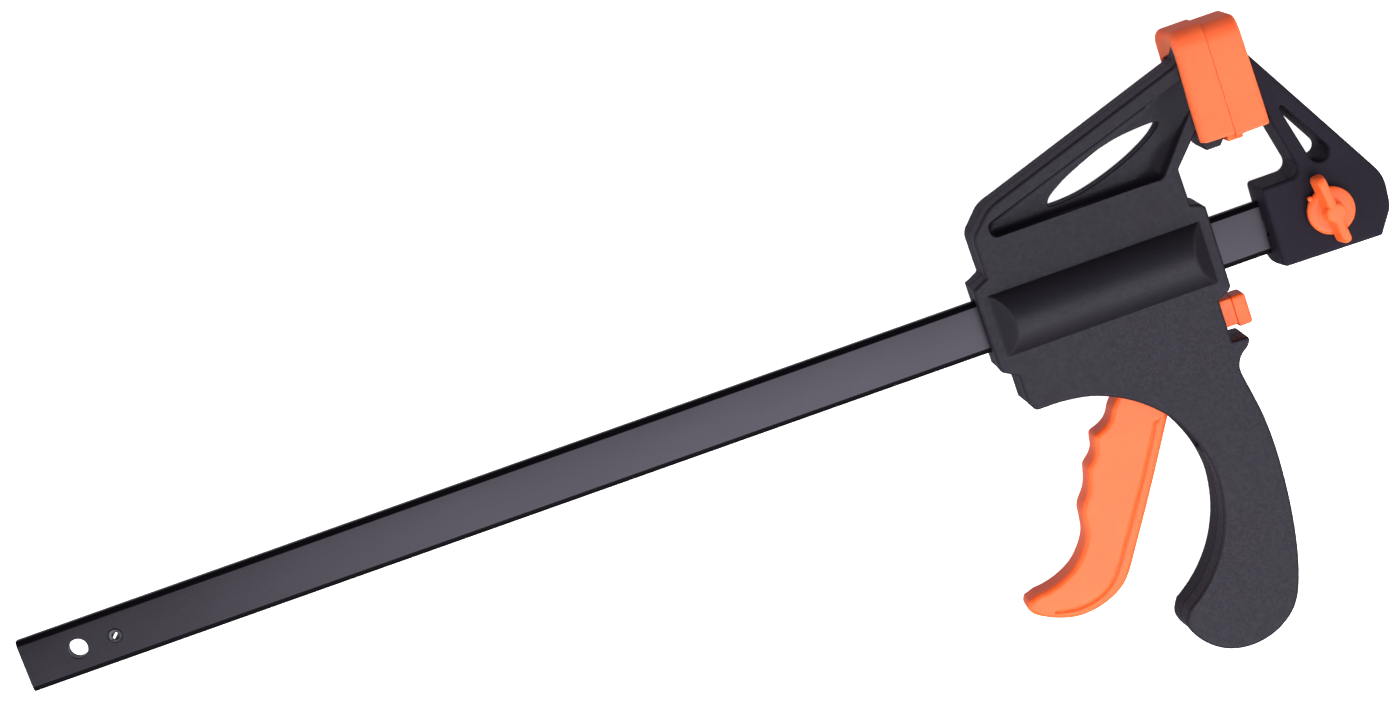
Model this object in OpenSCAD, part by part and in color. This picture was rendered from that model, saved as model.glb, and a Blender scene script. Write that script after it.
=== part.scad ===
// Quick release bar clamp: a trigger driven sliding jaw on a flat steel bar.
// Frame: X along the bar towards the fixed jaw, Y towards the jaw tips, Z through the thickness.
// Origin: centre of the round hole at the free end of the bar, at the bar's mid-plane.

/* [Bar] */
// Greatest opening between the two pads, in mm
travel = 300; // [100:10:900]
// Width of the bar
bar_w = 18; // [15:0.2:18.2]
// Thickness of the bar
bar_t = 4.8; // [4:0.2:5.4]
// Width of the bevel along the bar's long edges
bar_bevel = 1.7; // [0.6:0.1:2]
// Radius of the round hole at the free end
end_hole_r = 3.25; // [2.5:0.05:3.6]

/* [Sliding head] */
// Thickness of the head over both shells
head_t = 19; // [18:0.5:22]
// Thickness of the recessed web of the arm
web_t = 7; // [5:0.5:9]
// Height of the bulge over the flat face of the head
bulge_h = 7; // [6:0.5:9]
// Radius of the screws that hold the shells together
screw_r = 1.5; // [1.2:0.1:1.7]

/* [Jaws and pads] */
// Width of the pads across the bar
pad_w = 26.6; // [26:0.2:30]
// Wall thickness of the pads
pad_wall = 3; // [2.5:0.1:3.5]
// Rounding of the pads' upper corners
pad_round = 6; // [3:0.5:7]
// Gap between the closed pads
pad_gap = 0.2; // [0.1:0.1:1]
// Thickness of the fixed jaw at its foot
foot_t = 24.4; // [22:0.2:26]

/* [Trigger and mechanism] */
// Thickness of the trigger
trigger_t = 12.4; // [11:0.2:13]
// Radius of the trigger's pivot pin
pivot_r = 2.5; // [2:0.1:3]
// Thickness of one drive plate
plate_t = 2.5; // [2:0.1:2.5]
// Tilt of the brake plate at rest, in degrees
brake_tilt = 5.5; // [3:0.5:6]
// Wire thickness of the drive spring
wire_d = 1.5; // [1:0.1:1.6]

/* [Wing knob] */
// Diameter of the knob's disc
knob_d = 15.8; // [14:0.2:18]
// Length of the wing
wing_l = 23.5; // [20:0.5:28]
// Lean of the wing at rest, in degrees
wing_lean = 7; // [-20:1:20]

/* [Hidden] */

hd = head_t / 2;          // half thickness of the head
seam = 113.8;             // plane between the closed pads, from the head's datum
bar_clear = 0.3;          // clearance round the bar in the head
knob = [135.8, 0.3];        // axis of the wing knob, from the head's datum
pivot = [66, -25];        // axis of the trigger pin, from the head's datum
nose_l = 12.5;            // lever from the pin to the trigger's nose
nose_r = 3.4;             // radius of the nose
nose_a = 12;              // angle of the nose to the right of upright
plate_x = pivot[0] + nose_l * sin(nose_a) - nose_r - 0.15;   // right face of the drive plates
brake_pivot = [86.5, 14]; // upper edge that the brake plate tips on
pocket = 7;               // half width of the mechanism's pocket
screw_at = [[27.5, 22.5], [86, 22.5], [29, -23], [84, -45], [84.5, -81], [68, -119.5]];
pin_x = 13;               // stop pin, from the free-end hole
locating_x = 122.4;       // locating pin, from the head's datum

black = [0.17, 0.165, 0.18];
steel_black = [0.13, 0.125, 0.14];
orange = [0.98, 0.47, 0.24];
zinc = [0.62, 0.63, 0.65];

// ---- outline helpers: points come from corners with radii, and from smooth curves ----
function unit(v) = v / norm(v);
function xy(p) = [p[0], p[1]];
function turn(d) = d > 180 ? d - 360 : (d < -180 ? d + 360 : d);
function corner(a, b, c, r, n) =
  let (u = unit(xy(a) - xy(b)), w = unit(xy(c) - xy(b)),
       h = acos(max(-1, min(1, u * w))) / 2,
       s = xy(b) + u * r / tan(h), e = xy(b) + w * r / tan(h),
       m = xy(b) + unit(u + w) * r / sin(h),
       a0 = atan2(s[1] - m[1], s[0] - m[0]), a1 = atan2(e[1] - m[1], e[0] - m[0]), d = turn(a1 - a0))
  [for (k = [0:n]) m + r * [cos(a0 + d * k / n), sin(a0 + d * k / n)]];
// closed outline from [x, y, radius] corners; radius 0 keeps the corner sharp
function outline(p, n = 6) = [for (i = [0:len(p) - 1])
  let (a = p[(i + len(p) - 1) % len(p)], b = p[i], c = p[(i + 1) % len(p)])
  each (b[2] == undef || b[2] == 0 ? [xy(b)] : corner(a, b, c, b[2], n))];
// smooth curve through the given points, n steps between each two
function curve(p, n = 4) = [for (i = [0:len(p) - 2])
  let (a = p[max(i - 1, 0)], b = p[i], c = p[i + 1], d = p[min(i + 2, len(p) - 1)])
  for (k = [0:n - 1]) let (t = k / n)
  0.5 * (2 * b + (c - a) * t + (2 * a - 5 * b + 4 * c - d) * t * t + (3 * b - a - 3 * c + d) * t * t * t)];
function ring_curve(p, n = 4) = [for (i = [0:len(p) - 1])
  let (m = len(p), a = p[(i + m - 1) % m], b = p[i], c = p[(i + 1) % m], d = p[(i + 2) % m])
  for (k = [0:n - 1]) let (t = k / n)
  0.5 * (2 * b + (c - a) * t + (2 * a - 5 * b + 4 * c - d) * t * t + (3 * b - a - 3 * c + d) * t * t * t)];

module at_head() { translate([travel, 0, 0]) children(); }
module slab(z0, z1) { translate([0, 0, z0]) linear_extrude(z1 - z0) children(); }
// profile in the Y-Z plane, run along X from x0 to x1
module along_x(x0, x1) { translate([x0, 0, 0]) rotate([90, 0, 90]) linear_extrude(x1 - x0) children(); }
// profile in the X-Z plane, run along Y from y0 to y1
module along_y(y0, y1) { translate([0, y1, 0]) rotate([90, 0, 0]) linear_extrude(y1 - y0) children(); }
// face of the flat plate inside a pad, from y = 37 up to the given height
module jaw_plate_2d(top) {
  h = pad_w / 2 - pad_wall - 0.2;
  polygon(outline([[37, -h, 0], [top, -h, 1.8], [top, h, 1.8], [37, h, 0]]));
}
// two circles and their common tangents
module pear(c1, r1, c2, r2) {
  d = norm(c2 - c1); a = atan2(c2[1] - c1[1], c2[0] - c1[0]); b = acos((r1 - r2) / d);
  translate(c1) circle(r1, $fn = 48);
  translate(c2) circle(r2, $fn = 24);
  polygon([for (q = [[c1, r1, b], [c2, r2, b], [c2, r2, -b], [c1, r1, -b]]) q[0] + q[1] * [cos(a + q[2]), sin(a + q[2])]]);
}
// round wire coil along X, closed at both ends
module coil(x0, x1, rad, wire, turns, sides, steps) {
  n = floor(turns * steps);
  pts = [for (i = [0:n], k = [0:sides - 1])
    let (a = 360 * i / steps, x = x0 + wire / 2 + (x1 - x0 - wire) * i / n, b = 360 * k / sides, rr = rad + wire / 2 * cos(b))
    [x + wire / 2 * sin(b), rr * cos(a), rr * sin(a)]];
  faces = concat([[for (k = [sides - 1:-1:0]) k]],
    [for (i = [0:n - 1], k = [0:sides - 1]) let (l = (k + 1) % sides) each
      [[i * sides + k, (i + 1) * sides + l, (i + 1) * sides + k], [i * sides + k, i * sides + l, (i + 1) * sides + l]]],
    [[for (k = [0:sides - 1]) n * sides + k]]);
  polyhedron(pts, faces);
}
// slotted spring pin along Z
module roll_pin(x, r, z0, z1) {
  translate([x, 0, z0]) difference() {
    cylinder(r = r, h = z1 - z0, $fn = 48);
    translate([0, 0, -1]) cylinder(r = r - 0.9, h = z1 - z0 + 2, $fn = 40);
    rotate(45) translate([0, -0.35, -1]) cube([r + 1, 0.7, z1 - z0 + 2]);
  }
}

// ---- bar ----
bar_left = -18.75;
bar_right = travel + 148;
module bar() {
  color(steel_black) difference() {
    intersection() {
      along_x(bar_left, bar_right)
        polygon([for (s = [[1, 1], [-1, 1], [-1, -1], [1, -1]]) let (b = bar_bevel, c = 0.95, h = bar_w / 2, q = bar_t / 2)
          each (s[0] * s[1] > 0 ? [[s[0] * h, s[1] * (q - c)], [s[0] * (h - b), s[1] * q]] : [[s[0] * (h - b), s[1] * q], [s[0] * h, s[1] * (q - c)]])]);
      slab(-bar_t, bar_t) polygon(outline([[bar_left, -bar_w / 2, 0.8], [bar_right, -bar_w / 2, 0.8], [bar_right, bar_w / 2, 0.8], [bar_left, bar_w / 2, 0.8]]));
    }
    translate([0, 0, -bar_t]) cylinder(r = end_hole_r, h = 2 * bar_t, $fn = 64);
    translate([pin_x, 0, -bar_t]) cylinder(r = 2.4, h = 2 * bar_t, $fn = 48);
    translate([travel + locating_x, 0, -bar_t]) cylinder(r = 2.4, h = 2 * bar_t, $fn = 48);
    translate([travel + knob[0], 0, -bar_t]) cylinder(r = 3.3, h = 2 * bar_t, $fn = 64);
  }
}
module bar_stop_pin() { color(zinc) roll_pin(pin_x, 2.4, -bar_t / 2 - 3.4, bar_t / 2 + 0.25); }
module jaw_locating_pin() { color(zinc) roll_pin(travel + locating_x, 2.4, -5, 5); }

// ---- fixed jaw ----
module fixed_jaw() {
  color(black) at_head() difference() {
    union() {
      // foot and arm; the two faces draw in towards the tip
      intersection() {
        slab(-15, 15) polygon(outline([
          [114.7, -13.0, 1.5], [149.9, -13.7, 1.2], [155.4, -5.6, 9], [156.4, 5, 12],
          [124.2, 60.5, 0], [123.2, 62, 0], [123.2, 66.5, 0], [117.2, 66.5, 0], [117.2, 38.5, 0], [123.4, 38.5, 0],
          [124.2, 46, 0], [125.9, 35.5, 0], [131.0, 14.2, 3.4], [115.6, 14.2, 1.5]], 8));
        along_x(100, 170) polygon([[-20, -foot_t / 2 - 0.2], [12, -foot_t / 2 + 1.3], [80, -foot_t / 2 + 3.1], [80, foot_t / 2 - 3.1], [12, foot_t / 2 - 1.3], [-20, foot_t / 2 + 0.2]]);
      }
      // jaw plate inside the pad
      along_x(116.4, 124.2) jaw_plate_2d(67.8);
      // seat under the knob's washer
      translate([knob[0], knob[1], 9]) cylinder(r = 8, h = 2.7, $fn = 64);
    }
    // pear-shaped window
    slab(-20, 20) pear([138.25, 19.6], 3.5, [131.05, 37.2], 0.75);
    // pocket for the bar's end
    translate([114, -bar_w / 2 - 0.05, -bar_t / 2 - 0.05]) cube([34.1, bar_w + 0.1, bar_t + 0.1]);
    // relief for the locating pin, open to the left
    translate([114, -2.6, -5.2]) cube([locating_x - 114, 5.2, 10.4]);
    translate([locating_x, 0, -5.2]) cylinder(r = 2.6, h = 10.4, $fn = 48);
    // screw hole and nut pocket
    translate([knob[0], knob[1], -20]) cylinder(r = 3.2, h = 40, $fn = 64);
    translate([knob[0], knob[1], -20]) cylinder(r = 5.85, h = 20 - 6.9, $fn = 6);
  }
}

// soft cap, closed round the jaw plate; dir = 1 opens towards -X, -1 towards +X
// gap is the outline of the opening that the arm comes in through
module pad(face_x, dir, depth, top, low, tongue, gap) {
  w = pad_w / 2; i = w - pad_wall;
  translate([face_x, 0, 0]) mirror([dir > 0 ? 1 : 0, 0, 0]) difference() {
    union() {
      along_x(0, depth) polygon(outline([[low, -w, 1], [top, -w, pad_round], [top, w, pad_round], [low, w, 1]]));
      along_x(0, 2.5) polygon(outline([[tongue, -w + 2, 2], [low + 4, -w, 0], [low + 4, w, 0], [tongue, w - 2, 2]]));
    }
    // space for the jaw plate, and the opening in the back
    along_x(2.5, depth - 0.8) polygon(outline([[low - 5, -i, 0], [top - pad_wall, -i, 1.8], [top - pad_wall, i, 1.8], [low - 5, i, 0]]));
    along_x(depth - 2, depth + 1) polygon(outline(gap));
  }
}
module fixed_pad() {
  color(orange) at_head() pad(seam + pad_gap / 2, -1, 11.4, 71.8, 33.8, 32.4, [[28, -10.4, 0], [60.5, -10.4, 1.5], [60.5, 10.4, 1.5], [28, 10.4, 0]]);
}
module moving_pad() {
  color(orange) at_head() pad(seam - pad_gap / 2, 1, 11.3, 72.5, 34.6, 32.4, [[28, -9.8, 0], [62.8, -9.8, 0], [68.3, 7.6, 0.8], [66, 9.8, 0.8], [28, 9.8, 0]]);
}

// ---- wing knob and its screw ----
module at_knob() { translate([travel + knob[0], knob[1], 0]) children(); }
module wing_knob() {
  color(orange) at_knob() difference() {
    union() {
      translate([0, 0, 12.5]) cylinder(r = knob_d / 2, h = 1.9, $fn = 72);
      translate([0, 0, 12.5]) cylinder(r = knob_d / 2 - 0.7, h = 2.5, $fn = 72);
      translate([0, 0, 12.5]) cylinder(r = 3.4, h = 8.8, $fn = 48);
      // moulding nub on the rim
      rotate(133) translate([8.1, 0, 12.7]) cylinder(r = 0.8, h = 1.8, $fn = 24);
      // wing: a blade, thinner at its crest and a little longer on the pads' side
      translate([-0.3, 0, 0]) rotate(wing_lean) translate([0, 1, 0]) intersection() {
        along_x(-6, 6) polygon(outline([[-wing_l / 2, 13, 0], [wing_l / 2, 13, 0], [wing_l / 2, 21.3, 1.6], [-wing_l / 2, 21.3, 1.6]]));
        along_y(-wing_l, wing_l) polygon([[-2.5, 12], [2.5, 12], [1.5, 21.5], [-1.5, 21.5]]);
      }
    }
    translate([0, 0, 12]) cylinder(r = 2.2, h = 6.5, $fn = 48);
  }
}
module wing_screw() {
  color(zinc) at_knob() {
    translate([0, 0, -11.3]) cylinder(r = 3, h = 23.8, $fn = 64);
    translate([0, 0, 12.5]) cylinder(r = 2.2, h = 6, $fn = 48);
  }
}
module knob_washer() {
  color(zinc) at_knob() translate([0, 0, 11.75]) difference() {
    cylinder(r = 6.8, h = 0.7, $fn = 64);
    translate([0, 0, -1]) cylinder(r = 3.2, h = 3, $fn = 64);
  }
}
module jaw_nut() {
  color(zinc) at_knob() translate([0, 0, -11.5]) difference() {
    cylinder(r = 5.77, h = 4.6, $fn = 6);
    translate([0, 0, -1]) cylinder(r = 3.05, h = 7, $fn = 64);
  }
}

// ---- sliding head: outline of the shells ----
arm_top = [[22.3, 16.5, 0], [22.2, 30.2, 5], [29.9, 38.3, 14], [101.3, 61.7, 0], [103.2, 63.1, 0], [103.2, 68.5, 0], [111.2, 68.5, 0]];
arm_low = [[111.2, 36.6, 0], [110.4, 33.9, 0], [108.7, 31.9, 0], [104.6, 31.9, 0], [103.7, 33.1, 0], [102.3, 39, 0], [93.2, 29.2, 0]];
right_side = [[93.3, 17, 0], [96.8, 15.7, 1], [97.9, 14.4, 0.6], [97.8, -13.4, 0.8], [96.8, -14.6, 0.8], [92.6, -16.6, 0], [92.6, -30.9, 0], [98.3, -31.3, 0.8]];
grip_back = curve([[98.4, -32.7], [97, -34.6], [94.7, -36.3], [93.1, -38.6], [92.5, -41.8], [93.7, -49], [95.2, -58.5], [95.8, -70.5], [95.2, -85], [93.7, -98.2], [91.3, -110.3], [87.7, -120.8], [83.1, -126.7], [76.3, -130.7], [68.4, -132.2], [60.7, -130.9], [54.7, -127.1], [50.7, -122], [49.3, -117.4], [51.4, -113.2]], 4);
grip_front = curve([[51.4, -113.2], [59.4, -107.2], [66.4, -98.8], [71.1, -89.4], [73.5, -80], [74, -70.5], [71.7, -60.1], [66.7, -50], [59.9, -42.4], [52, -36.7], [43, -32.8], [34, -31.3], [28, -31.1]], 4);
left_side = [[24.2, -31.1, 1.8], [22.3, -28, 1.5], [22.3, -18, 0], [17.6, -15.3, 0.5], [17, -14.2, 0.5], [17, 14.1, 0]];
head_outline = outline(concat(arm_top, arm_low, right_side, grip_back, grip_front, left_side));

// inner outline of the hollow grip
grip_hollow = ring_curve([[78.5, -56], [77.4, -64], [77.6, -73], [76.6, -83], [73.4, -93], [69, -102], [62, -110.2], [55, -116], [54, -119], [57.5, -123.3], [63, -126.6], [69, -127.8], [75, -126.2], [80.4, -122.6], [84, -118], [87, -109], [89.5, -97], [91.2, -84.5], [91.7, -70.5], [90.8, -60], [88.5, -54], [83, -52.8]], 3);

// space that the trigger's upper part and the drive plates move in
drive_pocket = [[53.5, 15.2], [53.5, -18.5], [55.5, -26], [45.5, -35.5], [38, -40], [60, -55], [71.5, -68], [75, -62], [76.2, -50], [77.2, -40], [76, -16.5], [71.5, -9.5], [71.5, 15.2]];
// space that the brake plate and the button move in
brake_pocket = [[84.4, 15.5], [88.6, 15.5], [91.2, -16.2], [93.5, -16.2], [93.5, -30.9], [83.2, -30.9], [83.2, -10], [84.4, -8]];

// one shell, for z >= 0; pins and screws differ between the two
module shell(front) {
  difference() {
    union() {
      slab(0, hd) polygon(head_outline);
      // jaw plate inside the pad
      intersection() {
        along_x(103.2, 111.2) jaw_plate_2d(68.5);
        slab(0, 20) square([120, 80]);
      }
      // bulge over the spring, with steep ends
      bulge();
    }
    // recess of the arm, open towards the jaw plate
    slab(web_t / 2, hd + 1) polygon(outline([[28.3, 28.2, 2.2], [87.4, 28.2, 3], [103.2, 47.4, 0], [103.2, 57.2, 0], [28.3, 33.2, 2.2]]));
    // leaf-shaped window
    slab(-1, hd + 1) polygon(ring_curve([[51.2, 31.2], [50.6, 32.6], [52.4, 34.7], [57.6, 37.9], [64.6, 40.9], [71.1, 43.3], [78.1, 44.9], [85.1, 45.6], [91, 45.8], [92, 44.9], [88, 41.6], [80, 37.5], [70, 33.9], [60, 31.5]]));
    // way for the bar
    translate([0, -bar_w / 2 - bar_clear, -1]) cube([120, bar_w + 2 * bar_clear, bar_t / 2 + bar_clear + 1]);
    // spring chamber
    translate([31, 0, 0]) rotate([0, 90, 0]) cylinder(r = 12, h = 30, $fn = 72);
    slab(-1, pocket) polygon(drive_pocket);
    slab(-1, pocket) polygon(brake_pocket);
    // seat of the brake spring
    translate([78.6, -13.2, 0]) rotate([0, 90, 0]) cylinder(r = 3.4, h = 8, $fn = 40);
    difference() {
      slab(-1, hd - 3) polygon(grip_hollow);
      for (s = screw_at) translate([s[0], s[1], -2]) cylinder(r = 3.8, h = hd + 4, $fn = 48);
    }
    // socket of the trigger pin
    translate([pivot[0], pivot[1], -1]) cylinder(r = pivot_r + 0.05, h = hd, $fn = 64);
    if (front) for (s = screw_at) translate([s[0], s[1], -1]) cylinder(r = screw_r, h = 8, $fn = 48);
    else for (s = screw_at) {
      translate([s[0], s[1], -1]) cylinder(r = screw_r + 0.2, h = hd + 2, $fn = 48);
      translate([s[0], s[1], hd - 3]) cylinder(r = 3.2, h = 4, $fn = 48);
    }
  }
}
module bulge() {
  c = 10.7; r = (c * c + bulge_h * bulge_h) / (2 * bulge_h);
  intersection() {
    translate([16, 0, hd + bulge_h - r]) rotate([0, 90, 0]) cylinder(r = r, h = 82, $fn = 96);
    along_y(-c - 0.001, c + 0.001) polygon([[20.9, hd - 1], [20.9, hd], [26.3, hd + bulge_h], [88.7, hd + bulge_h], [94.2, hd], [94.2, hd - 1]]);
  }
}
module front_housing() { color(black) at_head() shell(true); }
module rear_housing() { color(black) at_head() mirror([0, 0, 1]) shell(false); }
module housing_screws() {
  color(zinc) at_head() for (s = screw_at) translate([s[0], s[1], 0]) difference() {
    union() {
      translate([0, 0, -hd + 3]) cylinder(r = screw_r, h = hd + 3.6, $fn = 48);
      translate([0, 0, -hd + 0.8]) cylinder(r = 2.9, h = 2.2, $fn = 48);
    }
    translate([-2, -0.4, -hd]) cube([4, 0.8, 1.9]);
    translate([-0.4, -2, -hd]) cube([0.8, 4, 1.9]);
  }
}

// ---- trigger ----
trigger_front = curve([[57.6, -27], [53, -34.6], [48.8, -39.4], [47, -42.5], [44.9, -44.5], [42.4, -45.7], [40, -46.6], [39.3, -48.6], [38.7, -51.6], [37, -54], [34.7, -56], [33.9, -58.2], [33, -61.6], [31.5, -64.6], [29.4, -67.2], [28.1, -69.6], [27.6, -73.6], [26.8, -78], [24.5, -82], [20.9, -86], [16.9, -88.6], [12.7, -90.3], [8.4, -91.3], [4.6, -91.6]], 3);
trigger_back = curve([[1.8, -92.7], [0.8, -95], [2.3, -97.8], [6.1, -100.3], [10.6, -102.3], [16, -103.6], [21.7, -103.4], [27.3, -102], [32.5, -99.4], [36.5, -95.5], [41.4, -88], [50.9, -72.9], [60.6, -56.8], [68.6, -42.8], [71.8, -33.5], [73, -27]], 4);
trigger_outline = concat(trigger_front, trigger_back);
groove = curve([[9.2, -99.2], [15.6, -100.5], [21.4, -100.2], [26.6, -98.5], [31, -95.4], [34.5, -91], [38.8, -84.4], [48.5, -69.4], [58.1, -53.5], [60.8, -48.4]], 5);
module trigger() {
  color(orange) at_head() difference() {
    union() {
      slab(-trigger_t / 2, trigger_t / 2) polygon(trigger_outline);
      // hub round the pin, and the nose that pushes the drive plates
      translate([pivot[0], pivot[1], -trigger_t / 2]) cylinder(r = 7.2, h = trigger_t, $fn = 72);
      slab(-5, 5) pear(pivot, 3.2, pivot + nose_l * [sin(nose_a), cos(nose_a)], nose_r);
    }
    translate([pivot[0], pivot[1], -10]) cylinder(r = pivot_r + 0.05, h = 20, $fn = 64);
    // shallow groove inside the back edge, on both faces
    for (s = [-1, 1]) translate([0, 0, s * trigger_t / 2]) linear_extrude(1.2, center = true)
      polygon(concat(groove, [for (i = [len(groove) - 1:-1:0]) groove[i] + [-0.75, 0.75]]));
  }
}
module trigger_pin() { color(zinc) at_head() translate([pivot[0], pivot[1], -hd + 1.1]) cylinder(r = pivot_r, h = head_t - 2.2, $fn = 64); }

// ---- drive plates and brake ----
module plate_2d(low, high, half) {
  difference() {
    polygon(outline([[low, -half, 1.2], [high, -half, 1.2], [high, half, 1.2], [low, half, 1.2]]));
    translate([-bar_w / 2 - 0.3, -bar_t / 2 - 0.2]) square([bar_w + 0.6, bar_t + 0.4]);
  }
}
module drive_plate_a() { color(zinc) at_head() along_x(plate_x - plate_t, plate_x) plate_2d(-12.8, 14, 6.7); }
module drive_plate_b() { color(zinc) at_head() along_x(plate_x - 2 * plate_t - 0.1, plate_x - plate_t - 0.1) plate_2d(-12.8, 14, 6.7); }
module drive_spring() { color(zinc) at_head() coil(31.1, plate_x - 2 * plate_t - 0.2, 10.55, wire_d, 7.5, 8, 20); }
module at_brake() { at_head() translate([brake_pivot[0], brake_pivot[1], 0]) rotate(brake_tilt) children(); }
module brake_plate() {
  color(zinc) at_brake() difference() {
    union() {
      translate([-1.25, -30.2, -6.7]) cube([2.5, 30.2, 13.4]);
      translate([-1.25, -40.5, -3]) cube([2.5, 12, 6]);
      // rounded upper edge that the plate rocks on
      translate([0, 0, -6.7]) cylinder(r = 1.25, h = 13.4, $fn = 48);
    }
    // window for the bar; the tilted plate bites on the bar's edges
    translate([-5, -14 - bar_w / 2 - 0.25, -bar_t / 2 - 0.2]) cube([10, bar_w + 0.5, bar_t + 0.4]);
  }
}
module brake_spring() { color(zinc) at_head() translate([0, -13.2, 0]) coil(78.7, 87.6, 2.6, 0.7, 5, 6, 16); }
module release_button() {
  color(orange) difference() {
    at_head() union() {
      // cap outside the head
      along_y(-28.4, -17.7) polygon(outline([[97.2, -4.8, 1], [102.2, -4.8, 1.4], [102.2, 4.8, 1.4], [97.2, 4.8, 1]]));
      translate([87.8, -27.4, -4.2]) cube([10, 9.4, 8.4]);
    }
    // slot that the brake plate's tail is pressed into
    at_brake() translate([-1.25, -40.5, -3]) cube([2.5, 22, 6]);
  }
}

bar();
bar_stop_pin();
jaw_locating_pin();
fixed_jaw();
fixed_pad();
wing_knob();
wing_screw();
knob_washer();
jaw_nut();
front_housing();
rear_housing();
housing_screws();
moving_pad();
trigger();
trigger_pin();
drive_plate_a();
drive_plate_b();
drive_spring();
brake_plate();
brake_spring();
release_button();
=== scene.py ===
import math

import bpy
import bmesh
import numpy as np
from mathutils import Matrix, Vector
from mathutils.geometry import delaunay_2d_cdt


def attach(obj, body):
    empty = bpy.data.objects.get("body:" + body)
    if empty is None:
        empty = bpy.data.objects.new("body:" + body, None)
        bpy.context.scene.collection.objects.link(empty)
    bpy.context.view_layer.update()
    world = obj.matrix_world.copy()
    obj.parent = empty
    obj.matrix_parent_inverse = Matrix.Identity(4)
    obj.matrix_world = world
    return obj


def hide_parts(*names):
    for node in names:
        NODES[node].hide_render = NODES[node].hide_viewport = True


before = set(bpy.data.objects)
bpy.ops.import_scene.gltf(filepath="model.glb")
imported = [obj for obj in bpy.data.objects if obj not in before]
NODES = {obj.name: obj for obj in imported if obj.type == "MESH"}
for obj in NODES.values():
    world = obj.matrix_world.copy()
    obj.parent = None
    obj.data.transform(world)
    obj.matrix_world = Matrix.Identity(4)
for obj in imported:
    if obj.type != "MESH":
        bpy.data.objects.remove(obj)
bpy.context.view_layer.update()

MM = 0.001

# All shape numbers below are in millimetres, in the frame of part.scad. H is the head's datum along the bar.
H = 300.0
HD = 9.5            # half thickness of the head


# ---------------------------------------------------------------- outlines
def outline(points, n=6):
    """Closed outline from (x, y, radius) corners."""
    out = []
    m = len(points)
    for i in range(m):
        a, b, c = np.array(points[i - 1][:2], float), np.array(points[i][:2], float), np.array(points[(i + 1) % m][:2], float)
        r = points[i][2] if len(points[i]) > 2 else 0
        if not r:
            out.append(tuple(b))
            continue
        u, w = (a - b) / np.linalg.norm(a - b), (c - b) / np.linalg.norm(c - b)
        h = math.acos(max(-1, min(1, float(u @ w)))) / 2
        s, e = b + u * r / math.tan(h), b + w * r / math.tan(h)
        mid = b + (u + w) / np.linalg.norm(u + w) * r / math.sin(h)
        a0, a1 = math.atan2(*(s - mid)[::-1]), math.atan2(*(e - mid)[::-1])
        d = (a1 - a0 + math.pi) % (2 * math.pi) - math.pi
        out += [tuple(mid + r * np.array([math.cos(a0 + d * k / n), math.sin(a0 + d * k / n)])) for k in range(n + 1)]
    return out


def spline(p, n, closed):
    p = [np.array(q, float) for q in p]
    m = len(p)
    out = []
    for i in range(m if closed else m - 1):
        if closed:
            a, b, c, d = p[i - 1], p[i], p[(i + 1) % m], p[(i + 2) % m]
        else:
            a, b, c, d = p[max(i - 1, 0)], p[i], p[i + 1], p[min(i + 2, m - 1)]
        for k in range(n):
            t = k / n
            out.append(tuple(0.5 * (2 * b + (c - a) * t + (2 * a - 5 * b + 4 * c - d) * t * t + (3 * b - a - 3 * c + d) * t ** 3)))
    return out


def curve(p, n=4):
    return spline(p, n, False)


def ring_curve(p, n=4):
    return spline(p, n, True)


def circle(cx, cy, r, n=48, a0=0.0):
    return [(cx + r * math.cos(a0 + 2 * math.pi * k / n), cy + r * math.sin(a0 + 2 * math.pi * k / n)) for k in range(n)]


def pear(c1, r1, c2, r2, n=28):
    c1, c2 = np.array(c1, float), np.array(c2, float)
    d = np.linalg.norm(c2 - c1)
    a = math.atan2(*(c2 - c1)[::-1])
    b = math.acos((r1 - r2) / d)
    out = []
    for k in range(n + 1):                       # far end
        t = a - b + 2 * b * k / n
        out.append(tuple(c2 + r2 * np.array([math.cos(t), math.sin(t)])))
    for k in range(n + 1):                       # near end
        t = a + b + (2 * math.pi - 2 * b) * k / n
        out.append(tuple(c1 + r1 * np.array([math.cos(t), math.sin(t)])))
    return out


def area(poly):
    p = np.array(poly)
    q = np.roll(p, -1, 0)
    return float(np.sum(p[:, 0] * q[:, 1] - q[:, 0] * p[:, 1])) / 2


def ccw(poly):
    return list(poly) if area(poly) > 0 else list(reversed(poly))


def resample(poly, step, closed=True):
    out = []
    m = len(poly)
    for i in range(m if closed else m - 1):
        a, b = np.array(poly[i], float), np.array(poly[(i + 1) % m], float)
        L = np.linalg.norm(b - a)
        if L < 1e-4:
            continue
        k = max(1, int(math.ceil(L / step)))
        out += [tuple(a + (b - a) * j / k) for j in range(k)]
    if not closed:
        out.append(tuple(poly[-1]))
    return out


def dist(P, poly, closed=True):
    """Distance from each point to a polyline."""
    P = np.asarray(P, float)
    a = np.asarray(poly, float)
    b = np.roll(a, -1, 0)
    if not closed:
        a, b = a[:-1], b[:-1]
    d = b - a
    L = np.maximum((d * d).sum(1), 1e-12)
    out = np.empty(len(P))
    for s in range(0, len(P), 4000):
        q = P[s:s + 4000, None, :] - a[None]
        t = np.clip((q * d).sum(2) / L, 0, 1)
        out[s:s + 4000] = np.sqrt((((q - t[..., None] * d) ** 2).sum(2)).min(1))
    return out


def inside(P, poly):
    P = np.asarray(P, float)
    a = np.asarray(poly, float)
    b = np.roll(a, -1, 0)
    res = np.zeros(len(P), bool)
    for s in range(0, len(P), 8000):
        x, y = P[s:s + 8000, 0, None], P[s:s + 8000, 1, None]
        c = (a[:, 1] > y) != (b[:, 1] > y)
        with np.errstate(divide="ignore", invalid="ignore"):
            xi = a[:, 0] + (y - a[:, 1]) * (b[:, 0] - a[:, 0]) / (b[:, 1] - a[:, 1])
        res[s:s + 8000] = (np.sum(c & (x < xi), 1) % 2) == 1
    return res


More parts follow.
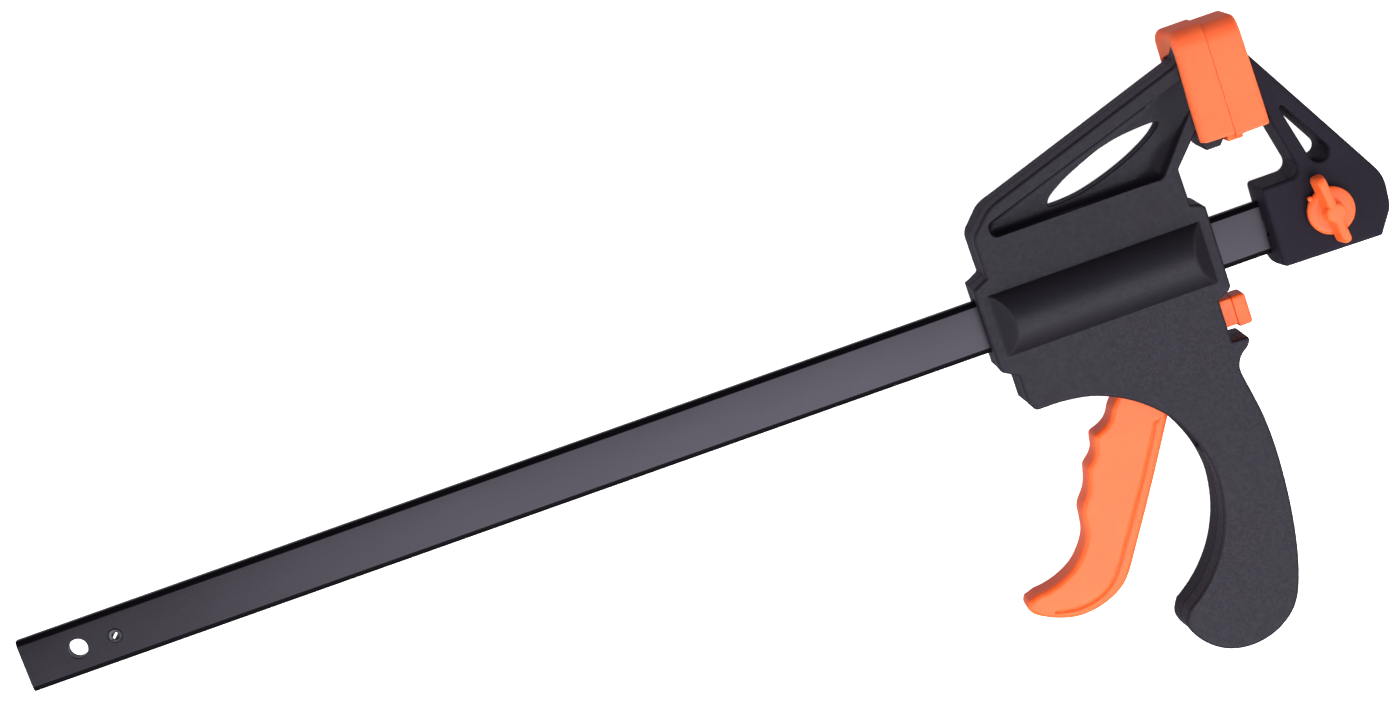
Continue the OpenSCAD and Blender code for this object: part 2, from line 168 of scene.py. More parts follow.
def sdist(P, poly):
    return dist(P, poly) * np.where(inside(P, poly), 1.0, -1.0)


def offset_chains(poly, d, step):
    """Lines at distance d inside a closed outline (outside for negative d), as open chains of points."""
    p = np.array(resample(ccw(poly), step))
    m = len(p)
    e = np.roll(p, -1, 0) - p
    e /= np.linalg.norm(e, axis=1)[:, None]
    nrm = np.stack([-e[:, 1], e[:, 0]], 1)       # inward
    pts = []
    for i in range(m):
        n0, n1 = nrm[i - 1], nrm[i]
        turn = n0[0] * n1[1] - n0[1] * n1[0]
        ang = math.atan2(turn, float(n0 @ n1))
        if ang * d < -0.3 * abs(d):              # the offset runs round the outside of this corner: an arc
            k = max(2, int(math.ceil(abs(ang) / 0.35)))
            a0 = math.atan2(n0[1], n0[0])
            for j in range(k + 1):
                t = a0 + ang * j / k
                pts.append(p[i] + d * np.array([math.cos(t), math.sin(t)]))
        else:
            h = n0 + n1
            L = np.linalg.norm(h)
            if L < 0.2:
                continue
            pts.append(p[i] + h * (2 * d / (L * L)))
    pts = np.array(pts)
    ok = dist(pts, poly) > abs(d) - 0.012
    chains, cur = [], []
    n = len(pts)
    start = 0
    if not ok.all():
        start = int(np.argmin(ok))
    for j in range(n + (1 if ok.all() else 0)):
        i = (start + j) % n
        if ok[i]:
            if cur and np.linalg.norm(pts[i] - cur[-1]) > 4 * step + 2 * abs(d):
                chains.append(cur)
                cur = []
            if not cur or np.linalg.norm(pts[i] - cur[-1]) > 0.02:
                cur.append(pts[i])
    if cur:
        chains.append(cur)
    return [c for c in chains if len(c) > 1]


def round_drop(d, r):
    """How far a rounded edge of radius r lies below the face, at distance d from the edge."""
    t = np.clip(r - d, 0, r)
    return r - np.sqrt(np.maximum(r * r - t * t, 0))


def round_steps(r, n=5):
    return [r * (1 - math.cos(math.pi / 2 * k / n)) for k in range(1, n + 1)] + [r + 0.07]


def smin(a, b, k):
    h = np.clip(0.5 + 0.5 * (b - a) / k, 0, 1)
    return b + (a - b) * h - k * h * (1 - h)


def smax(a, b, k):
    return -smin(-a, -b, k)


# ---------------------------------------------------------------- mesh making
def new_object(name, verts, faces, smooth=True):
    me = bpy.data.meshes.new(name)
    me.from_pydata([tuple(float(c) * MM for c in v) for v in verts], [], faces)
    me.validate()
    me.update()
    ob = bpy.data.objects.new(name, me)
    bpy.context.scene.collection.objects.link(ob)
    if smooth:
        me.polygons.foreach_set("use_smooth", [True] * len(me.polygons))
    return ob


def field_solid(name, outer, holes, top, bottom, lines=(), points=(), rings_top=(0.07,), rings_bottom=(0.07,),
                bottom_inset=(), to_xyz=None, step=1.2):
    """A closed solid over a flat outline. top(P) and bottom(P) give its two faces' heights. lines are chains of
    points that the mesh's edges follow, so that rounded edges and fillets keep clean strips of faces."""
    verts, edges = [], []

    def add_loop(loop, closed=True):
        s = len(verts)
        verts.extend(loop)
        k = len(loop)
        edges.extend([(s + j, s + (j + 1) % k) for j in range(k if closed else k - 1)])

    outer = resample(ccw(outer), step)
    add_loop(outer)
    holes = [resample(ccw(h), min(step, 0.8)) for h in holes]
    for h in holes:
        add_loop(h)
    keep = []
    for c in lines:
        c = np.array(c)
        if len(c) < 2:
            continue
        ok = inside(c, outer) & (dist(c, outer) > 0.012)
        for h in holes:
            ok &= ~inside(c, h) & (dist(c, h) > 0.012)
        run = []
        for q, g in zip(c, ok):
            if g:
                run.append(tuple(q))
            else:
                if len(run) > 1:
                    keep.append(run)
                run = []
        if len(run) > 1:
            keep.append(run)
    for c in keep:
        add_loop(c, closed=False)
    if len(points):
        P = np.array(points, float)
        ok = inside(P, outer) & (dist(P, outer) > 0.15)
        for h in holes:
            ok &= ~inside(P, h) & (dist(P, h) > 0.15)
        verts.extend([tuple(q) for q in P[ok]])
    v2, _, f2, _, _, _ = delaunay_2d_cdt([Vector(q) for q in verts], edges, [], 0, 1e-4)
    V = np.array([[q[0], q[1]] for q in v2])
    F = np.array([f for f in f2 if len(f) == 3])
    cen = V[F].mean(1)
    ok = inside(cen, outer)
    for h in holes:
        ok &= ~inside(cen, h)
    F = F[ok]
    a = V[F]
    A = (a[:, 1, 0] - a[:, 0, 0]) * (a[:, 2, 1] - a[:, 0, 1]) - (a[:, 2, 0] - a[:, 0, 0]) * (a[:, 1, 1] - a[:, 0, 1])
    F[A < 0] = F[A < 0][:, ::-1]
    F = F[np.abs(A) > 1e-9]
    used = np.unique(F)
    remap = -np.ones(len(V), int)
    remap[used] = np.arange(len(used))
    V, F = V[used], remap[F]
    n = len(V)
    zt, zb = np.asarray(top(V), float), np.asarray(bottom(V), float)
    # boundary edges, with the solid on their left
    cnt = {}
    for f in F:
        for j in range(3):
            cnt[(f[j], f[(j + 1) % 3])] = 1
    border = [(int(i), int(j)) for (i, j) in cnt if (j, i) not in cnt]
    nxt = {}
    nrm = np.zeros((n, 2))
    for i, j in border:
        e = V[j] - V[i]
        L = np.linalg.norm(e)
        if L > 0:
            q = np.array([-e[1], e[0]]) / L      # inward
            nrm[i] += q
            nrm[j] += q
    L = np.linalg.norm(nrm, axis=1)
    L[L == 0] = 1
    inward = nrm / L[:, None]
    xyz = [(V[i, 0], V[i, 1], zt[i]) for i in range(n)]
    inset = bottom_inset[-1][0] if bottom_inset else 0.0
    bset = {i for e in border for i in e}
    low = []
    for i in range(n):
        q = V[i] + (inward[i] * inset if i in bset else 0)
        low.append((q[0], q[1], zb[i]))
    xyz += low
    faces = [tuple(int(k) for k in f) for f in F]
    faces += [tuple(int(k) + n for k in reversed(f)) for f in F]
    ids = {i: [i] for i in bset}
    for i in bset:
        h = zt[i] - zb[i]
        for r in rings_top:
            if r < 0.45 * h:
                ids[i].append(len(xyz))
                xyz.append((V[i, 0], V[i, 1], zt[i] - r))
        if bottom_inset:
            for off, up in bottom_inset[:-1]:
                ids[i].append(len(xyz))
                q = V[i] + inward[i] * off
                xyz.append((q[0], q[1], zb[i] + up))
        else:
            for r in sorted(rings_bottom, reverse=True):      # from the top down
                if r < 0.45 * h:
                    ids[i].append(len(xyz))
                    xyz.append((V[i, 0], V[i, 1], zb[i] + r))
        ids[i].append(i + n)
    for i, j in border:
        A_, B_ = ids[i], ids[j]
        if len(A_) == len(B_):
            for k in range(len(A_) - 1):
                faces.append((B_[k], A_[k], A_[k + 1], B_[k + 1]))
        else:
            faces.append(tuple([B_[0]] + A_ + list(reversed(B_[1:]))))
    if to_xyz is not None:
        xyz = [to_xyz(*q) for q in xyz]
    ob = new_object(name, xyz, faces)
    fix_normals(ob)
    return ob


def fix_normals(ob):
    bm = bmesh.new()
    bm.from_mesh(ob.data)
    bmesh.ops.recalc_face_normals(bm, faces=bm.faces)
    if bm.calc_volume(signed=True) < 0:
        bmesh.ops.reverse_faces(bm, faces=bm.faces)
    bm.to_mesh(ob.data)
    bm.free()
    ob.data.update()


def prism(name, poly, z0, z1):
    poly = ccw(poly)
    n = len(poly)
    v = [(x, y, z0) for x, y in poly] + [(x, y, z1) for x, y in poly]
    f = [tuple(reversed(range(n))), tuple(range(n, 2 * n))] + [(i, (i + 1) % n, n + (i + 1) % n, n + i) for i in range(n)]
    ob = new_object(name, v, f, smooth=False)
    fix_normals(ob)
    return ob


def box_mm(name, x0, y0, z0, x1, y1, z1):
    return prism(name, [(x0, y0), (x1, y0), (x1, y1), (x0, y1)], z0, z1)


def cyl(name, c, r, z0, z1, n=48, axis="z", smooth=True, profile=None):
    """Cylinder, or a turned shape from profile = [(radius, height), ...], about an axis through c."""
    prof = profile or [(r, z0), (r, z1)]
    v, f = [], []
    for rr, zz in prof:
        for k in range(n):
            t = 2 * math.pi * k / n
            v.append((rr * math.cos(t), rr * math.sin(t), zz))
    for i in range(len(prof) - 1):
        for k in range(n):
            l = (k + 1) % n
            f.append((i * n + k, i * n + l, (i + 1) * n + l, (i + 1) * n + k))
    f.append(tuple(reversed(range(n))))
    f.append(tuple(range((len(prof) - 1) * n, len(prof) * n)))
    if axis == "x":
        v = [(z, x, y) for x, y, z in v]
    elif axis == "y":
        v = [(y, z, x) for x, y, z in v]
    v = [(x + c[0], y + c[1], z + c[2]) for x, y, z in v]
    ob = new_object(name, v, f, smooth=smooth)
    fix_normals(ob)
    return ob


def boolean(ob, cutters, op="DIFFERENCE", solver="MANIFOLD"):
    for c in cutters:
        m = ob.modifiers.new("b", "BOOLEAN")
        m.operation = op
        m.object = c
        m.solver = solver
        before = len(ob.data.polygons)
        deps = bpy.context.evaluated_depsgraph_get()
        me = bpy.data.meshes.new_from_object(ob.evaluated_get(deps), depsgraph=deps)
        ob.modifiers.remove(m)
        if len(me.polygons) == 0:
            print("boolean gave nothing:", ob.name, c.name)
            bpy.data.meshes.remove(me)
            continue
        old = ob.data
        ob.data = me
        bpy.data.meshes.remove(old)
        print("boolean", ob.name, c.name, before, len(me.polygons))
    for c in cutters:
        me = c.data
        bpy.data.objects.remove(c)
        bpy.data.meshes.remove(me)
    ob.data.name = ob.name
    return ob


def finish_mesh(ob, angle=34.0):
    bm = bmesh.new()
    bm.from_mesh(ob.data)
    bmesh.ops.remove_doubles(bm, verts=bm.verts, dist=1e-7)
    bmesh.ops.dissolve_degenerate(bm, edges=bm.edges, dist=1e-7)
    loose = [v for v in bm.verts if not v.link_faces]
    bmesh.ops.delete(bm, geom=loose, context="VERTS")
    openings = sum(1 for e in bm.edges if len(e.link_faces) != 2)
    bm.to_mesh(ob.data)
    bm.free()
    me = ob.data
    me.polygons.foreach_set("use_smooth", [True] * len(me.polygons))
    me.set_sharp_from_angle(angle=math.radians(angle))
    me.update()
    print("mesh", ob.name, len(me.vertices), "verts", len(me.polygons), "faces", "open edges", openings)
    return ob


def move(ob, x=0.0, y=0.0, z=0.0):
    ob.data.transform(Matrix.Translation((x * MM, y * MM, z * MM)))
    return ob


def join(name, obs):
    bm = bmesh.new()
    for o in obs:
        bm.from_mesh(o.data)
    me = bpy.data.meshes.new(name)
    bm.to_mesh(me)
    bm.free()
    ob = bpy.data.objects.new(name, me)
    bpy.context.scene.collection.objects.link(ob)
    for o in obs:
        m = o.data
        bpy.data.objects.remove(o)
        bpy.data.meshes.remove(m)
    me.polygons.foreach_set("use_smooth", [True] * len(me.polygons))
    return ob


# ---------------------------------------------------------------- outlines of the head
ARM_TOP = [(22.3, 16.5, 0), (22.2, 30.2, 5), (29.9, 38.3, 14), (101.3, 61.7, 0), (103.2, 63.1, 0), (103.2, 68.5, 0), (111.2, 68.5, 0)]
ARM_LOW = [(111.2, 36.6, 0), (110.4, 33.9, 0), (108.7, 31.9, 0), (103.9, 31.9, 0), (103.0, 33.1, 0), (102.2, 39, 0), (93.2, 29.2, 0)]
RIGHT_SIDE = [(93.3, 17, 0), (96.8, 15.7, 1), (97.9, 14.4, 0.6), (97.8, -13.4, 0.8), (96.8, -14.6, 0.8), (92.6, -16.6, 0), (92.6, -30.9, 0), (98.3, -31.3, 0.8)]
GRIP_BACK = curve([(98.4, -32.7), (97, -34.6), (94.7, -36.3), (93.1, -38.6), (92.5, -41.8), (93.7, -49), (95.2, -58.5), (95.8, -70.5), (95.2, -85), (93.7, -98.2), (91.3, -110.3), (87.7, -120.8), (83.1, -126.7), (76.3, -130.7), (68.4, -132.2), (60.7, -130.9), (54.7, -127.1), (50.7, -122), (49.3, -117.4), (51.4, -113.2)], 4)
GRIP_FRONT = curve([(51.4, -113.2), (59.4, -107.2), (66.4, -98.8), (71.1, -89.4), (73.5, -80), (74, -70.5), (71.7, -60.1), (66.7, -50), (59.9, -42.4), (52, -36.7), (43, -32.8), (34, -31.3), (28, -31.1)], 4)
LEFT_SIDE = [(24.2, -31.1, 1.8), (22.3, -28, 1.5), (22.3, -18, 0), (17.6, -15.3, 0.5), (17, -14.2, 0.5), (17, 14.1, 0)]
HEAD = ccw(outline(ARM_TOP + ARM_LOW + RIGHT_SIDE + GRIP_BACK + GRIP_FRONT + LEFT_SIDE))
RECESS = ccw(outline([(28.3, 28.2, 2.2), (87.4, 28.2, 3), (103.2, 47.4, 0), (103.2, 57.2, 0), (28.3, 33.2, 2.2)], 5))
RECESS_SIDES = [(103.2, 57.2), (28.3, 33.2), (28.3, 28.2), (87.4, 28.2), (103.2, 47.4)]



def upper_wall(P):
    """1 beside the recess's top edge, 0 beside the others."""
    top = dist(P, [(28.3, 33.2), (103.2, 57.2)], closed=False)
    rest = dist(P, [(28.3, 31.5), (28.3, 28.2), (87.4, 28.2), (103.2, 47.4)], closed=False)
    return np.clip((rest - top) / 2.5, 0, 1)


def lower_wall(P):
    """1 beside the recess's lower edge, fading towards the diagonal one."""
    return np.clip((33.5 - P[:, 1]) / 3.0, 0, 1) * np.clip((86.0 - P[:, 0]) / 8.0, 0, 1)


LEAF = ccw(ring_curve([(50.6, 31.0), (50.0, 32.4), (51.8, 34.5), (57.6, 37.9), (64.6, 40.9), (71.1, 43.3), (78.1, 44.9), (85.1, 45.6), (91, 45.8), (92, 44.9), (88, 41.6), (80, 37.5), (70, 33.9), (60, 31.5)]))
DRIVE_POCKET = [(53.5, 15.2), (53.5, -18.5), (55.5, -26), (45.5, -35.5), (38, -40), (60, -55), (71.5, -68), (75, -62), (76.2, -50), (77.2, -40), (76, -16.5), (71.5, -9.5), (71.5, 15.2)]
BRAKE_POCKET = [(84.4, 15.5), (88.6, 15.5), (91.2, -16.2), (93.5, -16.2), (93.5, -30.9), (83.2, -30.9), (83.2, -10), (84.4, -8)]
SCREWS = [(27.5, 22.5), (86, 22.5), (29, -23), (84, -45), (84.5, -81), (68, -119.5)]
PIVOT = (66.0, -25.0)
WEB = 3.5

# fall of the recess's wall from the rim, against the distance inside its outline
WALL_S = np.array([-0.62, -0.55, -0.42, -0.3, -0.18, -0.08, 0.0, 0.1, 0.3, 0.65, 1.15, 1.8, 2.6, 3.5, 4.5, 5.3, 5.38])
WALL_Z = np.array([9.5, 9.5, 9.46, 9.37, 9.2, 8.98, 8.6, 7.9, 6.95, 6.1, 5.4, 4.8, 4.3, 3.9, 3.62, 3.5, 3.5])
EDGE_R = 1.0
BULGE_H, BULGE_C = 7.0, 10.7
BULGE_R = (BULGE_C ** 2 + BULGE_H ** 2) / (2 * BULGE_H)


def bulge_z(P):
    x, y = P[:, 0], P[:, 1]
    c = HD + BULGE_H - BULGE_R + np.sqrt(np.maximum(BULGE_R ** 2 - y * y, 1e-6))
    c = np.where(np.abs(y) > BULGE_C + 0.6, HD - 5, c)
    left = HD + (x - 20.9) * BULGE_H / 5.4
    right = HD + (94.2 - x) * BULGE_H / 5.5
    return smin(smin(c, left, 0.45), right, 0.45)


def head_top(P):
    z = np.full(len(P), HD)
    s = np.where((P[:, 0] > 88.0) & inside(P, RECESS), dist(P, RECESS_SIDES, closed=False), sdist(P, RECESS))
    s = s * (1 + 1.6 * upper_wall(P) + 2.2 * lower_wall(P))      # the walls under the top rim and over the lower one are steeper
    rise = 3.5 + 5.75 * np.clip((P[:, 0] - 87.0) / 16.2, 0, 1) ** 1.8
    z = np.where(s > WALL_S[0], np.maximum(np.interp(s, WALL_S, WALL_Z), np.where(s > 0, rise, 0)), z)
    b = bulge_z(P)
    near = (P[:, 0] > 20.4) & (P[:, 0] < 94.7) & (np.abs(P[:, 1]) < BULGE_C + 0.5)
    z = np.where(near, smax(z, b, 0.18), z)
    z = z - round_drop(dist(P, HEAD), EDGE_R)
    return z - round_drop(dist(P, LEAF), 0.5)


def shell(name, front):
    lines = []
    for d in round_steps(EDGE_R, 5):
        lines += offset_chains(HEAD, d, 1.4)
    for s in WALL_S:
        if abs(s) < 1e-6:
            lines += [resample(RECESS, 1.0) + [RECESS[0]]]
        else:
            lines += offset_chains(RECESS, float(s), 1.0)
    for d in round_steps(0.5, 4):
        lines += offset_chains(LEAF, -d, 0.9)
    # bulge: a fine regular grid, finer near its ends
    xs = list(np.arange(20.5, 28.9, 0.42)) + list(np.arange(29.2, 86.0, 1.6)) + list(np.arange(86.4, 94.7, 0.42))
    ys = [0.0] + [s * v for v in (0.8, 1.6, 2.4, 3.2, 4.0, 4.8, 5.6, 6.4, 7.2, 8.0, 8.8, 9.5, 10.0, 10.35, 10.6, 10.75, 10.95) for s in (1, -1)]
    pts = [(x, y) for x in xs for y in ys]
    for y in (-BULGE_C, BULGE_C):
        lines.append(resample([(20.9, y), (94.2, y)], 1.6, closed=False))
    for x in (20.9, 94.2):
        lines.append(resample([(x, -BULGE_C), (x, BULGE_C)], 0.8, closed=False))
    ob = field_solid(name, HEAD, [LEAF], head_top, lambda P: np.zeros(len(P)), lines, pts,
                     rings_top=(0.07,), bottom_inset=((0.0, 0.34), (0.0, 0.28), (0.2, 0.0)), step=1.4)
    cut = [
        box_mm("c", 0, -9.3, -1, 120, 9.3, 2.7),
        cyl("c", (31, 0, 0), 12, 0, 30, 96, axis="x"),
        prism("c", DRIVE_POCKET, -1, 7),
        prism("c", BRAKE_POCKET, -1, 7),
        cyl("c", (78.6, -13.2, 0), 3.4, 0, 8, 40, axis="x"),
        cyl("c", (PIVOT[0], PIVOT[1], 0), 2.55, -1, 8.5, 48),
    ]
    boolean(ob, cut)
    if not front:
        # the rear shell grows a little towards its back
        co = np.array([v.co[:] for v in ob.data.vertices]) / MM
        P, z = co[:, :2], co[:, 2]
        ring = np.array(resample(HEAD, 0.5))
        nx = np.roll(ring, -1, 0) - np.roll(ring, 1, 0)
        nx = np.stack([nx[:, 1], -nx[:, 0]], 1) / np.linalg.norm(nx, axis=1)[:, None]
        k = np.empty(len(P), int)
        d = np.empty(len(P))
        for i in range(0, len(P), 2000):
            L = np.linalg.norm(P[i:i + 2000, None, :] - ring[None], axis=2)
            k[i:i + 2000] = L.argmin(1)
            d[i:i + 2000] = L.min(1)
        push = 0.65 * np.clip(z / 8.5, 0, 1) * np.clip(1 - d / 2.0, 0, 1) * (P[:, 0] < 101)
        push *= np.clip((-nx[k][:, 0] - 0.3) / 0.35, 0.08, 1) * np.where(P[:, 0] < 19.5, 0.4, 1.0)
        P = P + nx[k] * push[:, None]
        for v, q in zip(ob.data.vertices, P):
            v.co.x, v.co.y = q[0] * MM, q[1] * MM
        ob.data.update()
        for x, y in SCREWS:
            boolean(ob, [cyl("c", (x, y, 0), 1.7, -1, HD + 2, 32), cyl("c", (x, y, 0), 3.2, 0, 0, 48, profile=[(3.2, HD - 3), (3.2, HD - 0.25), (3.7, HD + 0.25), (3.7, HD + 2)])])
        ob.data.transform(Matrix.Diagonal((1, 1, -1, 1)))
        fix_normals(ob)
    else:
        for x, y in SCREWS:
            boolean(ob, [cyl("c", (x, y, 0), 1.5, -1, 7, 32)])
    move(ob, x=H)
    return finish_mesh(ob)


front = shell("front_shell", True)
rear = shell("rear_shell", False)


# ---------------------------------------------------------------- fixed jaw
JAW = ccw(outline([(114.7, -13, 1.5), (149.9, -13.7, 1.2), (155.4, -5.6, 9), (156.4, 5, 12), (124.2, 60.5, 0), (124.2, 67.8, 1.8), (116.4, 67.8, 1.8),
                   (116.4, 37, 0), (124.2, 37, 0), (124.2, 46, 0), (125.9, 35.5, 0), (131, 14.2, 3.4), (115.6, 14.2, 1.5)], 8))
TEAR = ccw(pear((138.25, 19.6), 3.5, (131.05, 37.2), 0.75))
KNOB = (135.8, 0.3)
JAW_R = 1.3


def jaw_top(P):
    t = np.interp(P[:, 1], [-20, 10, 11, 12, 13, 80], [12.4, 11.0, 10.95, 10.91, 10.88, 9.1])
    return t - round_drop(dist(P, JAW), JAW_R) - round_drop(dist(P, TEAR), 0.7)


def draft(ob):
    """Mould draft: the window narrows towards the back face, and the foot's left wall leans away behind the bar."""
    co = np.array([v.co[:] for v in ob.data.vertices]) / MM
    P, z = co[:, :2], co[:, 2]
    ring = np.array(resample(TEAR, 0.2))
    d = np.empty(len(P))
    way = np.zeros((len(P), 2))
    for s in range(0, len(P), 2000):
        q = P[s:s + 2000, None, :] - ring[None]
        L = np.linalg.norm(q, axis=2)
        k = L.argmin(1)
        d[s:s + 2000] = L.min(1)
        way[s:s + 2000] = q[np.arange(len(k)), k]
    mid_line = np.array([[131.05, 37.2], [138.25, 19.6]])
    t = np.clip(((P - mid_line[0]) @ (mid_line[1] - mid_line[0])) / np.sum((mid_line[1] - mid_line[0]) ** 2), 0, 1)
    c = P - (mid_line[0] + t[:, None] * (mid_line[1] - mid_line[0]))
    c /= np.maximum(np.linalg.norm(c, axis=1), 1e-6)[:, None]
    w = np.clip(1 - d / 3.0, 0, 1)
    P = P - c * (w * 0.03 * (10 - z))[:, None]
    lean = np.clip(1 - (P[:, 0] - 114.6) / 6.0, 0, 1) * (P[:, 1] < 20) * np.clip(-z / 9.0, 0, 1.2) * 0.9
    lean += np.clip(1 - (P[:, 0] - 116.2) / 5.0, 0, 1) * (P[:, 1] < 20) * np.clip(z / 10.0, 0, 1.1) * 1.15
    P = P + np.stack([lean, 0 * lean], 1)
    for v, q in zip(ob.data.vertices, P):
        v.co.x, v.co.y = q[0] * MM, q[1] * MM
    ob.data.update()


def jaw():
    lines = []
    for d in round_steps(JAW_R, 5):
        lines += offset_chains(JAW, d, 1.2)
    for d in round_steps(0.7, 4):
        lines += offset_chains(TEAR, -d, 0.8)
    for y in (10, 11, 12, 13):
        lines.append(resample([(112, y), (160, y)], 3.0, closed=False))
    ob = field_solid("fixed_jaw_body", JAW, [TEAR], jaw_top, lambda P: -jaw_top(P), lines, (),
                     rings_top=(0.07, 4.0, 8.0), rings_bottom=(0.07, 4.0, 8.0), step=1.2)
    draft(ob)
    kx, ky = KNOB
    boolean(ob, [cyl("c", (kx, ky, 0), 0, 0, 0, 72, profile=[(7.5, 8), (7.5, 11.55), (7.35, 11.7)])], "UNION")
    boolean(ob, [
        box_mm("c", 113, -9.05, -2.45, 148.1, 9.05, 2.45),
        box_mm("c", 113, -2.6, -5.2, 122.4, 2.6, 5.2),
        cyl("c", (122.4, 0, 0), 2.6, -5.2, 5.2, 40),
        cyl("c", (kx, ky, 0), 3.2, -20, 20, 48),
        cyl("c", (kx, ky, 0), 5.85, -20, -6.9, 6),
    ])
    move(ob, x=H)
    return finish_mesh(ob)


jaw_body = jaw()


# ---------------------------------------------------------------- pads
PAD_W, PAD_WALL = 13.3, 3.0


def pad(name, face_x, direction, depth, slant, top, low, tongue, gap, rear=0.0, back_r=2.6):
    """Soft cap. Its flat outline is in (y, z); height 0 is the clamping face and grows away from it.
    gap is the opening in its back that the arm comes in through."""
    w, i = PAD_W, PAD_WALL
    body = ccw(outline([(tongue, -w + 3.2, 1.6), (low, -w + 1.6, 1.2), (low, -w, 1.0), (top, -w, 5), (top, w, 6.3), (low, w, 1.0), (low, w - 1.6, 1.2), (tongue, w - 3.2, 1.6)], 7))

    def back(P):
        h = np.interp(P[:, 0], *slant) + np.maximum(0, -P[:, 1]) * rear
        h = np.minimum(h, np.interp(P[:, 0], [low + 0.2, low + 0.55], [2.5, 20]))   # the tongue is only as thick as the face
        d = dist(P, body)
        return h - np.where(h > 4, round_drop(d, back_r), round_drop(d, 0.2))

    def face(P):
        return round_drop(dist(P, body), 0.2)

    lines = []
    for d in sorted(set(round_steps(back_r, 6) + round_steps(0.2, 2))):
        lines += offset_chains(body, d, 0.9)
    for y in (low + 0.2, low + 0.55) + tuple(slant[0]):
        lines.append(resample([(y, -w), (y, w)], 1.2, closed=False))
    sgn = -1 if direction > 0 else 1

    def place(a, b, h):
        return (H + face_x + sgn * h, a, b)
    ob = field_solid(name, body, [], back, face, lines, (), rings_top=(0.07,), rings_bottom=(0.07,), to_xyz=place, step=0.9)
    # room for the jaw plate, and the opening with softened lips
    inner = ccw(outline([(low - 9, -w + i, 0), (top - i, -w + i, 1.8), (top - i, w - i, 1.8), (low - 9, w - i, 0)], 5))
    room = field_solid("c", inner, [], lambda P: np.full(len(P), depth - 0.8), lambda P: np.full(len(P), 2.5), (), (), to_xyz=place, step=2.0)
    gap = ccw(outline(gap, 6))
    lip = []
    for e in (0.12, 0.3, 0.5):
        lip += offset_chains(gap, e, 0.7)

    def lip_bottom(P):
        return depth - 0.25 - 1.2 * np.clip(sdist(P, gap) / 0.3, 0, 1) ** 0.5 - 0.6 * (sdist(P, gap) > 0.4)
    way = field_solid("c", gap, [], lambda P: np.full(len(P), depth + 3.0), lip_bottom, lip, (), rings_top=(), rings_bottom=(), to_xyz=place, step=0.7)
    boolean(ob, [room, way])
    return finish_mesh(ob, 40)


pad_m = pad("moving_pad_cap", 113.76, 1, 11.3, ([38, 46, 62, 68], [11.4, 11.35, 10.8, 10.7]), 72.5, 34.6, 32.4,
            [(26, -9.8, 0), (62.8, -9.8, 0), (65, 0.5, 4), (68.3, 7.6, 0.8), (66, 9.8, 0.8), (26, 9.8, 0)], 0.1)
pad_f = pad("fixed_pad_cap", 113.84, -1, 11.4, ([42, 48, 62, 68], [11.7, 11.65, 11.5, 11.5]), 71.8, 33.8, 32.4,
            [(26, -10.3, 0), (60.5, -10.3, 1.5), (60.5, 10.3, 1.5), (26, 10.3, 0)], back_r=1.5)


# ---------------------------------------------------------------- trigger
TF = curve([(57.6, -27), (53, -34.6), (48.8, -39.4), (47, -42.5), (44.9, -44.5), (42.4, -45.7), (40, -46.6), (39.3, -48.6), (38.7, -51.6), (37, -54), (34.7, -56), (33.9, -58.2), (33, -61.6), (31.5, -64.6), (29.4, -67.2), (28.1, -69.6), (27.6, -73.6), (26.8, -78), (24.5, -82), (20.9, -86), (16.9, -88.6), (12.7, -90.3), (8.4, -91.3), (4.6, -91.6)], 3)
TB = curve([(1.8, -92.7), (0.8, -95), (2.3, -97.8), (6.1, -100.3), (10.6, -102.3), (16, -103.6), (21.7, -103.4), (27.3, -102), (32.5, -99.4), (36.5, -95.5), (41.4, -88), (50.9, -72.9), (60.6, -56.8), (68.6, -42.8), (71.8, -33.5), (73, -27)], 4)
GROOVE = curve([(9.2, -99.2), (15.6, -100.5), (21.4, -100.2), (26.6, -98.5), (31, -95.4), (34.5, -91), (38.8, -84.4), (48.5, -69.4), (58.1, -53.5), (60.8, -48.4)], 5)
NOSE = (PIVOT[0] + 12.5 * math.sin(math.radians(12)), PIVOT[1] + 12.5 * math.cos(math.radians(12)))
TRIG_T, TRIG_R = 6.2, 1.9


